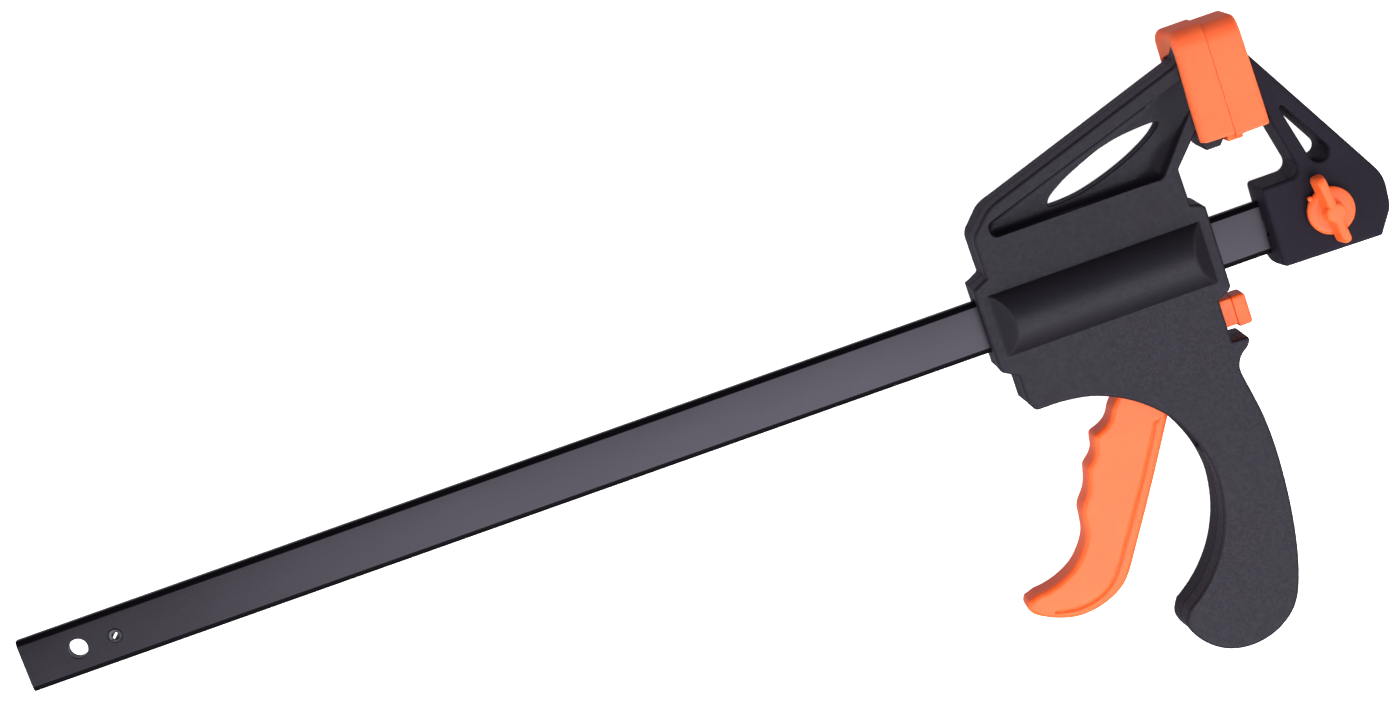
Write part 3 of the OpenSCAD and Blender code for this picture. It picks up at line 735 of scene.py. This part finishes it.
def trigger():
    hub = [(PIVOT[0] + 7.2 * math.cos(math.radians(a)), PIVOT[1] + 7.2 * math.sin(math.radians(a))) for a in (0, 12, 24, 36, 48)]
    nose = [(NOSE[0] + 3.4 * math.cos(math.radians(a)), NOSE[1] + 3.4 * math.sin(math.radians(a))) for a in range(-10, 191, 20)]
    hub2 = [(PIVOT[0] + 7.2 * math.cos(math.radians(a)), PIVOT[1] + 7.2 * math.sin(math.radians(a))) for a in (108, 122, 136, 150, 165, 180, 190)]
    body = ccw(TF + TB + hub + nose + hub2)
    hole = circle(PIVOT[0], PIVOT[1], 2.55, 40)

    def top(P):
        z = np.full(len(P), TRIG_T)
        d = dist(P, body)
        z = z - round_drop(d, TRIG_R)
        g = dist(P, GROOVE, closed=False)
        z = z - 0.6 * np.exp(-(g / 0.5) ** 2)
        r = np.hypot(P[:, 0] - PIVOT[0], P[:, 1] - PIVOT[1])
        z = np.where((P[:, 1] > -20.5) & (r > 7.0), np.minimum(z, 5.0), z)
        return z

    lines = []
    for d in round_steps(TRIG_R, 7):
        lines += offset_chains(body, d, 0.9)
    g = np.array(GROOVE)
    t = np.gradient(g, axis=0)
    t /= np.linalg.norm(t, axis=1)[:, None]
    nn = np.stack([-t[:, 1], t[:, 0]], 1)
    for o in (-1.1, -0.75, -0.5, -0.3, -0.14, 0, 0.14, 0.3, 0.5, 0.75, 1.1):
        lines.append(resample([tuple(q) for q in g + nn * o], 1.0, closed=False))
    lines.append(resample(circle(PIVOT[0], PIVOT[1], 7.0, 60), 1.0) )
    ob = field_solid("trigger_lever", body, [hole], top, lambda P: -top(P), lines, (), step=0.9)
    move(ob, x=H)
    return finish_mesh(ob, 40)


trig = trigger()


# ---------------------------------------------------------------- release button
def button():
    cap = ccw(outline([(-28.4, -4.8, 1.0), (-17.7, -4.8, 1.3), (-17.7, 4.8, 1.3), (-28.4, 4.8, 1.0)], 6))
    lines = []
    for d in sorted(set(round_steps(1.3, 6))):
        lines += offset_chains(cap, d, 0.6)
    # local (a, b, h) = (y, z, x)
    c = field_solid("release_button_cap", cap, [], lambda P: 102.2 - round_drop(dist(P, cap), 1.3),
                    lambda P: 97.2 + round_drop(dist(P, cap), 0.6), lines, (), to_xyz=lambda a, b, h: (H + h, a, b), step=0.6)
    neck = ccw(outline([(-27.4, -4.2, 0.6), (-18, -4.2, 0.6), (-18, 4.2, 0.6), (-27.4, 4.2, 0.6)], 4))
    n = field_solid("n", neck, [], lambda P: np.full(len(P), 97.8), lambda P: np.full(len(P), 87.8), (), (),
                    to_xyz=lambda a, b, h: (H + h, a, b), step=1.0)
    boolean(c, [n], "UNION")
    # slot for the brake plate's tail
    s = box_mm("s", -1.25, -40.5, -3, 1.25, -18.5, 3)
    s.data.transform(Matrix.Translation((0.3865, 0.014, 0)) @ Matrix.Rotation(math.radians(5.5), 4, "Z"))
    boolean(c, [s])
    return finish_mesh(c, 40)


btn = button()


# ---------------------------------------------------------------- wing knob
def knob():
    kx, ky = H + KNOB[0], KNOB[1]
    r = 7.9
    disc = cyl("wing_knob_cap", (kx, ky, 0), 0, 0, 0, 96,
               profile=[(r - 0.35, 12.5), (r - 0.1, 12.6), (r, 12.85), (r, 14.0), (r - 0.05, 14.2), (r - 0.2, 14.45), (r - 0.45, 14.68), (r - 0.8, 14.85), (r - 1.3, 14.96), (r - 2.0, 15.0), (0.3, 15.05)])
    hub = cyl("hub", (kx, ky, 0), 0, 0, 0, 64,
              profile=[(4.3, 14.2), (4.2, 14.9), (3.75, 15.3), (3.5, 15.9), (3.42, 16.8), (3.34, 20.2), (3.24, 20.7), (3.0, 21.05), (2.6, 21.24), (2.0, 21.3), (0.3, 21.32)])
    # wing: sections along its length, each a rounded blade
    y0, y1 = -10.75, 12.75
    secs = []
    ends = [0.0, 0.06, 0.2, 0.42, 0.75, 1.2, 1.8, 2.8]
    ys = [y0 + e for e in ends] + list(np.linspace(y0 + 4.2, y1 - 4.2, 9)) + [y1 - e for e in reversed(ends)]
    n = 40
    for y in ys:
        g = min(y - y0, y1 - y)
        e = math.sqrt(max(0.0, 1 - (max(0.0, 1.7 - g) / 1.7) ** 2))      # corners in plan
        crest = 21.3 - (1.8 - math.sqrt(max(0.0, 1.8 ** 2 - max(0.0, 1.8 - g) ** 2)))
        base = 13.0
        sec = []
        for k in range(n):
            t = 2 * math.pi * k / n
            ct, st = math.cos(t), math.sin(t)
            px = math.copysign(abs(ct) ** 0.4, ct)
            pz = math.copysign(abs(st) ** 0.4, st)
            zz = (base + crest) / 2 + pz * (crest - base) / 2
            half = 2.5 - (zz - base) / 8.3 * 0.95
            sec.append((px * (half - 1.45 * (1 - e)), y, zz))
        secs.append(sec)
    v = [q for s in secs for q in s]
    f = []
    for i in range(len(secs) - 1):
        for k in range(n):
            l = (k + 1) % n
            f.append((i * n + k, i * n + l, (i + 1) * n + l, (i + 1) * n + k))
    f.append(tuple(reversed(range(n))))
    f.append(tuple(range((len(secs) - 1) * n, len(secs) * n)))
    wing = new_object("wing", v, f)
    fix_normals(wing)
    wing.data.transform(Matrix.Translation(((kx - 0.3) * MM, ky * MM, 0)) @ Matrix.Rotation(math.radians(7), 4, "Z"))
    # moulding nub on the rim
    na = math.radians(133)
    nub = cyl("nub", (kx + 8.1 * math.cos(na), ky + 8.1 * math.sin(na), 0), 0, 0, 0, 20, profile=[(0.6, 12.7), (0.8, 12.9), (0.8, 14.1), (0.7, 14.35), (0.4, 14.5)])
    boolean(disc, [nub], "UNION")
    boolean(disc, [wing, hub], "UNION")
    boolean(disc, [cyl("c", (kx, ky, 0), 2.2, 12.0, 18.5, 32)])
    return finish_mesh(disc, 38)


kn = knob()


# ---------------------------------------------------------------- bar and pins
def bar():
    W, T, b, c = 9.0, 2.4, 1.7, 0.95
    # cross-section in (y, z) with softened bevel corners
    q = [(W, T - c, 0.25), (W - b, T, 0.3), (-W + b, T, 0.3), (-W, T - c, 0.25), (-W, -T + c, 0.25), (-W + b, -T, 0.3), (W - b, -T, 0.3), (W, -T + c, 0.25)]
    sec = ccw(outline(q, 3))
    x0, x1 = -18.75, 448.0
    xs = [(x0, 0.22), (x0 + 0.08, 0.08), (x0 + 0.22, 0.0)] + [(x, 0.0) for x in np.linspace(x0 + 8, x1 - 8, 24)] + [(x1 - 0.22, 0.0), (x1 - 0.08, 0.08), (x1, 0.22)]
    v, f = [], []
    n = len(sec)
    for x, ins in xs:
        for (yy, zz) in sec:
            v.append((x, yy * (1 - ins / W), zz * (1 - ins / T)))
    for i in range(len(xs) - 1):
        for k in range(n):
            l = (k + 1) % n
            f.append((i * n + k, i * n + l, (i + 1) * n + l, (i + 1) * n + k))
    f.append(tuple(reversed(range(n))))
    f.append(tuple(range((len(xs) - 1) * n, len(xs) * n)))
    ob = new_object("bar_steel", v, f)
    fix_normals(ob)

    def hole(x, y, r, chamfer):
        return cyl("h", (x, y, 0), 0, 0, 0, 64, profile=[(r + chamfer + 1, -3.4), (r + chamfer, -T), (r, -T + chamfer), (r, T - chamfer), (r + chamfer, T), (r + chamfer + 1, 3.4)])
    boolean(ob, [hole(0, 0, 3.25, 0.3), hole(13, 0, 2.4, 0.12), hole(H + 122.4, 0, 2.4, 0.12), hole(H + 135.8, 0, 3.3, 0.2)])
    return finish_mesh(ob, 24)


def roll_pin(name, x, r, z0, z1):
    """Spring pin: a rolled strip with a slot and chamfered ends."""
    half = math.asin(0.35 / (r - 0.3))
    a0 = math.radians(225)
    outer = [(r * math.cos(a0 + t), r * math.sin(a0 + t)) for t in np.linspace(half, 2 * math.pi - half, 56)]
    ri = r - 1.2
    hi = math.asin(0.35 / ri)
    innr = [(ri * math.cos(a0 + t), ri * math.sin(a0 + t)) for t in np.linspace(2 * math.pi - hi, hi, 44)]
    ring = ccw(outer + innr)
    circ = circle(0, 0, r, 96)

    def cham(P):
        d = r - np.hypot(P[:, 0], P[:, 1])
        di = np.hypot(P[:, 0], P[:, 1]) - ri
        return np.interp(d, [0, 0.3], [0.45, 0.0]) + round_drop(np.maximum(di, 0), 0.15)
    lines = [[(k * math.cos(a0 + t), k * math.sin(a0 + t)) for t in np.linspace(half + 0.05, 2 * math.pi - half - 0.05, 50)] for k in (r - 0.3, r - 0.32, ri + 0.15, ri + 0.06)]
    ob = field_solid(name, ring, [], lambda P: z1 - cham(P), lambda P: z0 + cham(P), lines, (), step=0.5)
    move(ob, x=x)
    return finish_mesh(ob, 35)


bar_ob = bar()
stop_pin = roll_pin("stop_pin", 13.0, 2.4, -5.8, 2.65)
loc_pin = roll_pin("locating_pin", H + 122.4, 2.4, -5.0, 5.0)


# ---------------------------------------------------------------- screws and nut
def screws():
    obs = []
    for i, (x, y) in enumerate(SCREWS):
        zt = -HD + 0.8                           # top of the head, facing -Z
        prof = [(0.4, zt), (1.3, zt + 0.06), (2.1, zt + 0.22), (2.6, zt + 0.5), (2.86, zt + 0.9), (2.9, zt + 1.3), (2.9, zt + 2.15), (2.85, zt + 2.2), (1.5, zt + 2.2),
                (1.5, 5.2), (1.1, 6.0), (0.3, 6.6)]
        s = cyl("s", (H + x, y, 0), 0, 0, 0, 48, profile=prof)
        a = 0.5 + 1.1 * i
        cuts = []
        for k in range(2):
            c = new_object("c", [(-1.55, -0.34, zt - 1), (1.55, -0.34, zt - 1), (1.55, 0.34, zt - 1), (-1.55, 0.34, zt - 1), (-0.75, -0.24, zt + 1.5), (0.75, -0.24, zt + 1.5), (0.75, 0.24, zt + 1.5), (-0.75, 0.24, zt + 1.5)],
                           [(3, 2, 1, 0), (4, 5, 6, 7), (0, 1, 5, 4), (1, 2, 6, 5), (2, 3, 7, 6), (3, 0, 4, 7)], smooth=False)
            fix_normals(c)
            c.data.transform(Matrix.Translation(((H + x) * MM, y * MM, 0)) @ Matrix.Rotation(a + k * math.pi / 2, 4, "Z"))
            cuts.append(c)
        boolean(s, cuts)
        obs.append(s)
    ob = join("shell_screws", obs)
    return finish_mesh(ob, 32)


def nut():
    kx, ky = H + KNOB[0], KNOB[1]
    z0, z1 = -11.5, -6.9
    hexa = cyl("jaw_hex_nut", (kx, ky, 0), 5.77, z0, z1, 6, smooth=False)
    lens = cyl("l", (kx, ky, 0), 0, 0, 0, 72, profile=[(4.9, z0), (6.0, z0 + 0.62), (6.0, z1 - 0.62), (4.9, z1)])
    boolean(hexa, [lens], "INTERSECT")
    boolean(hexa, [cyl("c", (kx, ky, 0), 0, 0, 0, 48, profile=[(3.9, z0 - 0.4), (3.05, z0 + 0.45), (3.05, z1 + 0.4)])])
    return finish_mesh(hexa, 28)


screw_ob = screws()
nut_ob = nut()


# ---------------------------------------------------------------- materials
def material(name):
    m = bpy.data.materials.new(name)
    m.use_nodes = True
    nt = m.node_tree
    nt.nodes.clear()
    out = nt.nodes.new("ShaderNodeOutputMaterial")
    b = nt.nodes.new("ShaderNodeBsdfPrincipled")
    nt.links.new(b.outputs["BSDF"], out.inputs["Surface"])
    tc = nt.nodes.new("ShaderNodeTexCoord")
    return m, nt, b, tc.outputs["Object"]


def mapping(nt, vec, scale=(1, 1, 1), rot=(0, 0, 0)):
    n = nt.nodes.new("ShaderNodeMapping")
    n.inputs["Scale"].default_value = scale
    n.inputs["Rotation"].default_value = rot
    nt.links.new(vec, n.inputs["Vector"])
    return n.outputs["Vector"]


def noise(nt, vec, scale, detail=3.0, rough=0.5, dist_=0.0):
    n = nt.nodes.new("ShaderNodeTexNoise")
    n.inputs["Scale"].default_value = scale
    n.inputs["Detail"].default_value = detail
    n.inputs["Roughness"].default_value = rough
    n.inputs["Distortion"].default_value = dist_
    nt.links.new(vec, n.inputs["Vector"])
    return n.outputs["Fac"]


def voronoi(nt, vec, scale, feature="F1"):
    n = nt.nodes.new("ShaderNodeTexVoronoi")
    n.feature = feature
    n.inputs["Scale"].default_value = scale
    nt.links.new(vec, n.inputs["Vector"])
    return n.outputs["Distance"]


def ramp(nt, fac, stops):
    n = nt.nodes.new("ShaderNodeValToRGB")
    n.color_ramp.elements[0].position, n.color_ramp.elements[0].color = stops[0][0], (*stops[0][1], 1)
    n.color_ramp.elements[1].position, n.color_ramp.elements[1].color = stops[-1][0], (*stops[-1][1], 1)
    for p, c in stops[1:-1]:
        e = n.color_ramp.elements.new(p)
        e.color = (*c, 1)
    nt.links.new(fac, n.inputs["Fac"])
    return n.outputs["Color"]


def remap(nt, fac, a, b, lo=0.0, hi=1.0):
    n = nt.nodes.new("ShaderNodeMapRange")
    n.inputs["From Min"].default_value, n.inputs["From Max"].default_value = lo, hi
    n.inputs["To Min"].default_value, n.inputs["To Max"].default_value = a, b
    nt.links.new(fac, n.inputs["Value"])
    return n.outputs["Result"]


def math_node(nt, op, a, b):
    n = nt.nodes.new("ShaderNodeMath")
    n.operation = op
    for s, x in zip(n.inputs, (a, b)):
        if isinstance(x, (int, float)):
            s.default_value = x
        else:
            nt.links.new(x, s)
    return n.outputs["Value"]


def bump(nt, b, height, strength, distance):
    n = nt.nodes.new("ShaderNodeBump")
    n.inputs["Strength"].default_value = strength
    n.inputs["Distance"].default_value = distance
    nt.links.new(height, n.inputs["Height"])
    nt.links.new(n.outputs["Normal"], b.inputs["Normal"])


def nylon(name, level, k=1.0):
    m, nt, b, o = material(name)
    fine = noise(nt, o, 2600, 2.0, 0.6)
    grain = noise(nt, o, 900, 3.0, 0.6)
    cloud = noise(nt, o, 45, 3.0, 0.55)
    c = ramp(nt, math_node(nt, "ADD", math_node(nt, "MULTIPLY", grain, 0.5), math_node(nt, "MULTIPLY", cloud, 0.5)),
             [(0.3, (0.0054 * k, 0.0044 * k, 0.0074 * k)), (0.7, (0.0075 * k, 0.0063 * k, 0.0103 * k))])
    nt.links.new(c, b.inputs["Base Color"])
    nt.links.new(remap(nt, grain, 0.46, 0.62, 0.3, 0.7), b.inputs["Roughness"])
    b.inputs["Specular IOR Level"].default_value = level
    b.inputs["Specular Tint"].default_value = (0.88, 0.84, 1.0, 1.0)
    bump(nt, b, math_node(nt, "ADD", math_node(nt, "MULTIPLY", fine, 0.5), grain), 0.35, 0.00012)
    return m


# band across the bar's width, as |Y| in metres, where the painted bevel shade fades in
SHADED_BEVEL_AT = (0.00712, 0.00732)


def bar_paint():
    m, nt, b, o = material("black_steel")
    streak = noise(nt, mapping(nt, o, (30, 900, 900)), 1.0, 4.0, 0.6)
    scuff = noise(nt, mapping(nt, o, (9, 22, 22)), 1.0, 4.0, 0.65, 0.4)
    fine = noise(nt, o, 3000, 2.0, 0.5)
    mix = math_node(nt, "ADD", math_node(nt, "MULTIPLY", streak, 0.25), math_node(nt, "MULTIPLY", scuff, 0.75))
    c = ramp(nt, mix, [(0.35, (0.0078, 0.0067, 0.0096)), (0.56, (0.0100, 0.0088, 0.0125)), (0.72, (0.0138, 0.0119, 0.0169))])
    # painted shade: the ground bevels along both long edges are given a blacker colour and a weaker specular than the
    # faces, standing in for the shade they lie in
    sep = nt.nodes.new("ShaderNodeSeparateXYZ")
    nt.links.new(o, sep.inputs["Vector"])
    bevel_shade_mask = math_node(nt, "ABSOLUTE", sep.outputs["Y"], 0.0)
    bevel_shade_mask = remap(nt, bevel_shade_mask, 0.0, 1.0, SHADED_BEVEL_AT[0], SHADED_BEVEL_AT[1])
    bevel_shade_mix = nt.nodes.new("ShaderNodeMix")
    bevel_shade_mix.data_type = "RGBA"
    nt.links.new(bevel_shade_mask, bevel_shade_mix.inputs["Factor"])
    nt.links.new(c, bevel_shade_mix.inputs[6])
    # near-black painted shade colour for the bevels
    bevel_shade_mix.inputs[7].default_value = (0.0028, 0.0024, 0.0034, 1.0)
    nt.links.new(bevel_shade_mix.outputs[2], b.inputs["Base Color"])
    nt.links.new(remap(nt, mix, 0.25, 0.35, 0.3, 0.7), b.inputs["Roughness"])
    nt.links.new(remap(nt, bevel_shade_mask, 0.37, 0.06), b.inputs["Specular IOR Level"])
    b.inputs["Specular Tint"].default_value = (0.87, 0.81, 1.0, 1.0)
    bump(nt, b, math_node(nt, "ADD", math_node(nt, "MULTIPLY", streak, 0.6), math_node(nt, "MULTIPLY", fine, 0.4)), 0.12, 0.0001)
    return m


def orange(name, base, deep, rough, grain_scale, coat=0.0):
    m, nt, b, o = material(name)
    cloud = noise(nt, o, 38, 3.0, 0.5)
    grain = noise(nt, o, grain_scale, 3.0, 0.55)
    c = ramp(nt, math_node(nt, "ADD", math_node(nt, "MULTIPLY", cloud, 0.7), math_node(nt, "MULTIPLY", grain, 0.3)), [(0.32, deep), (0.68, base)])
    nt.links.new(c, b.inputs["Base Color"])
    nt.links.new(remap(nt, grain, rough - 0.05, rough + 0.06, 0.3, 0.7), b.inputs["Roughness"])
    b.inputs["Specular IOR Level"].default_value = 0.27
    b.inputs["Subsurface Weight"].default_value = 0.5
    b.inputs["Subsurface Radius"].default_value = (1.0, 0.2, 0.08)
    b.inputs["Subsurface Scale"].default_value = 0.0035
    b.inputs["Coat Weight"].default_value = coat
    b.inputs["Coat Roughness"].default_value = 0.3
    bump(nt, b, grain, 0.12, 0.00008)
    return m


def zinc():
    m, nt, b, o = material("zinc_steel")
    cloud = noise(nt, o, 260, 4.0, 0.6)
    brush = noise(nt, mapping(nt, o, (2600, 2600, 160)), 1.0, 3.0, 0.6)
    c = ramp(nt, cloud, [(0.3, (0.50, 0.51, 0.52)), (0.7, (0.66, 0.67, 0.68))])
    nt.links.new(c, b.inputs["Base Color"])
    b.inputs["Metallic"].default_value = 1.0
    nt.links.new(remap(nt, brush, 0.24, 0.42, 0.3, 0.7), b.inputs["Roughness"])
    bump(nt, b, brush, 0.1, 0.00005)
    return m


def dark_pin():
    m, nt, b, o = material("black_spring_steel")
    cloud = noise(nt, o, 400, 3.0, 0.6)
    c = ramp(nt, cloud, [(0.3, (0.03, 0.03, 0.034)), (0.7, (0.07, 0.07, 0.078))])
    nt.links.new(c, b.inputs["Base Color"])
    b.inputs["Metallic"].default_value = 0.6
    nt.links.new(remap(nt, cloud, 0.3, 0.45), b.inputs["Roughness"])
    bump(nt, b, cloud, 0.1, 0.00005)
    return m


NYLON = nylon("black_nylon", 0.275)
# painted shade: a copy of the black nylon with much weaker specular and a doubled base colour, so the fixed jaw
# renders darker than the head though it is the same plastic
SHADED_JAW_NYLON = nylon("black_nylon_jaw_shaded", 0.09, 2.0)
BAR = bar_paint()
HARD = orange("orange_plastic", (0.96, 0.138, 0.026), (0.93, 0.124, 0.023), 0.42, 1500, 0.1)
SOFT = orange("orange_rubber", (0.985, 0.150, 0.045), (0.96, 0.137, 0.040), 0.5, 1900)
ZINC = zinc()
PIN = dark_pin()


def dress(ob, mat):
    ob.data.materials.clear()
    ob.data.materials.append(mat)


def piece(ob, mat, body, slot, *nodes):
    dress(ob, mat)
    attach(ob, body)
    if nodes:
        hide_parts(*nodes)


piece(front, NYLON, "head", "black_nylon", "front_housing")
piece(rear, NYLON, "head", "black_nylon", "rear_housing")
piece(jaw_body, SHADED_JAW_NYLON, "bar_frame", "black_nylon", "fixed_jaw")
piece(pad_m, SOFT, "head", "orange_rubber", "moving_pad")
piece(pad_f, SOFT, "bar_frame", "orange_rubber", "fixed_pad")
piece(trig, HARD, "trigger", "orange_plastic", "trigger")
piece(btn, HARD, "brake", "orange_plastic", "release_button")
piece(kn, HARD, "knob", "orange_plastic", "wing_knob")
piece(bar_ob, BAR, "bar_frame", "black_steel", "bar")
piece(stop_pin, PIN, "bar_frame", "zinc_steel", "bar_stop_pin")
piece(loc_pin, PIN, "bar_frame", "zinc_steel", "jaw_locating_pin")
piece(screw_ob, ZINC, "head", "zinc_steel", "housing_screws")
piece(nut_ob, ZINC, "bar_frame", "zinc_steel", "jaw_nut")
for n in ("wing_screw", "knob_washer", "trigger_pin", "drive_plate_a", "drive_plate_b", "drive_spring", "brake_plate", "brake_spring"):
    o = NODES[n]
    if not o.data.materials:
        o.data.materials.append(ZINC)
    for s in o.material_slots:
        s.material = ZINC


# ---------------------------------------------------------------- camera, floor and light
F, TAU = 3170.0, math.atan(591 / 3170)
a = Vector((0, -math.sin(TAU), -math.cos(TAU)))
up = Vector((0, math.cos(TAU), -math.sin(TAU)))
ux = Vector((1, 0, 0))
cr, sr = 0.94237, 0.33458
right = cr * ux - sr * up
cup = sr * ux + cr * up
cam_data = bpy.data.cameras.new("camera")
cam = bpy.data.objects.new("camera", cam_data)
bpy.context.scene.collection.objects.link(cam)
cam_data.sensor_width = 36.0
cam_data.lens = 36.0 * F / 1400
cam_data.shift_x, cam_data.shift_y = -0.5 / 1400, 0.4 / 1400
cam_data.clip_start, cam_data.clip_end = 0.05, 20
cam.matrix_world = Matrix(((right.x, cup.x, -a.x, 0.2257), (right.y, cup.y, -a.y, 0.2132), (right.z, cup.z, -a.z, 1.0266), (0, 0, 0, 1)))
bpy.context.scene.camera = cam

floor_z = -0.0166
me = bpy.data.meshes.new("floor")
S = 4.0
me.from_pydata([(-S, -S, floor_z), (S, -S, floor_z), (S, S, floor_z), (-S, S, floor_z)], [], [(0, 1, 2, 3)])
floor = bpy.data.objects.new("floor", me)
bpy.context.scene.collection.objects.link(floor)
fm, nt, b, o = material("pale_floor")
fc = ramp(nt, noise(nt, o, 6, 3.0, 0.5), [(0.3, (0.90, 0.90, 0.90)), (0.7, (0.93, 0.93, 0.93))])
nt.links.new(fc, b.inputs["Base Color"])
b.inputs["Roughness"].default_value = 0.9
b.inputs["Specular IOR Level"].default_value = 0.1
b.inputs["Emission Color"].default_value = (1, 1, 1, 1)
b.inputs["Emission Strength"].default_value = 0.97
me.materials.append(fm)
floor.visible_diffuse = False
floor.visible_glossy = False


def area_light(name, loc, target, size, power, color=(1, 1, 1)):
    d = bpy.data.lights.new(name, "AREA")
    d.shape = "RECTANGLE"
    d.size, d.size_y = size
    d.energy = power
    d.color = color
    o = bpy.data.objects.new(name, d)
    bpy.context.scene.collection.objects.link(o)
    o.location = loc
    o.rotation_euler = (Vector(target) - Vector(loc)).to_track_quat("-Z", "Y").to_euler()
    return o


mid = (0.27, -0.01, 0)


def softbox(name, loc, size, aim, radiance):
    area_light(name, loc, aim, size, math.pi * size[0] * size[1] * radiance * 1.6)


softbox("overhead", (0.40, -0.90, 1.3), (1.1, 1.7), (0.40, -0.90, 0), 3.2)
softbox("overhead_left", (-0.95, -1.3, 1.3), (1.0, 2.3), (-0.95, -1.3, 0), 1.0)
softbox("overhead_right", (1.5, -1.1, 1.3), (1.0, 3.0), (1.5, -1.1, 0), 1.3)
softbox("overhead_front", (0.2, -2.2, 1.3), (1.2, 0.9), (0.2, -2.2, 0), 1.2)
softbox("wall_left", (-1.5, -0.2, 0.65), (3.6, 1.3), (0, -0.2, 0.65), 1.6)
softbox("wall_right", (2.0, -0.2, 0.65), (3.6, 1.3), (0, -0.2, 0.65), 1.0)
softbox("wall_front", (0.25, -2.6, 0.65), (3.5, 1.3), (0.25, 0, 0.65), 0.35)
w = bpy.data.worlds.new("world")
w.use_nodes = True
# a little brighter below the horizon than above it, like a table top beyond the floor
sep = w.node_tree.nodes.new("ShaderNodeSeparateXYZ")
w.node_tree.links.new(w.node_tree.nodes.new("ShaderNodeTexCoord").outputs["Generated"], sep.inputs["Vector"])
grey = ramp(w.node_tree, remap(w.node_tree, sep.outputs["Z"], 0.0, 1.0, -0.12, 0.06), [(0.0, (0.29, 0.265, 0.32)), (1.0, (0.12, 0.12, 0.12))])
w.node_tree.links.new(grey, w.node_tree.nodes["Background"].inputs["Color"])
w.node_tree.nodes["Background"].inputs["Strength"].default_value = 1.4
bpy.context.scene.world = w
bpy.context.scene.view_settings.view_transform = "Standard"
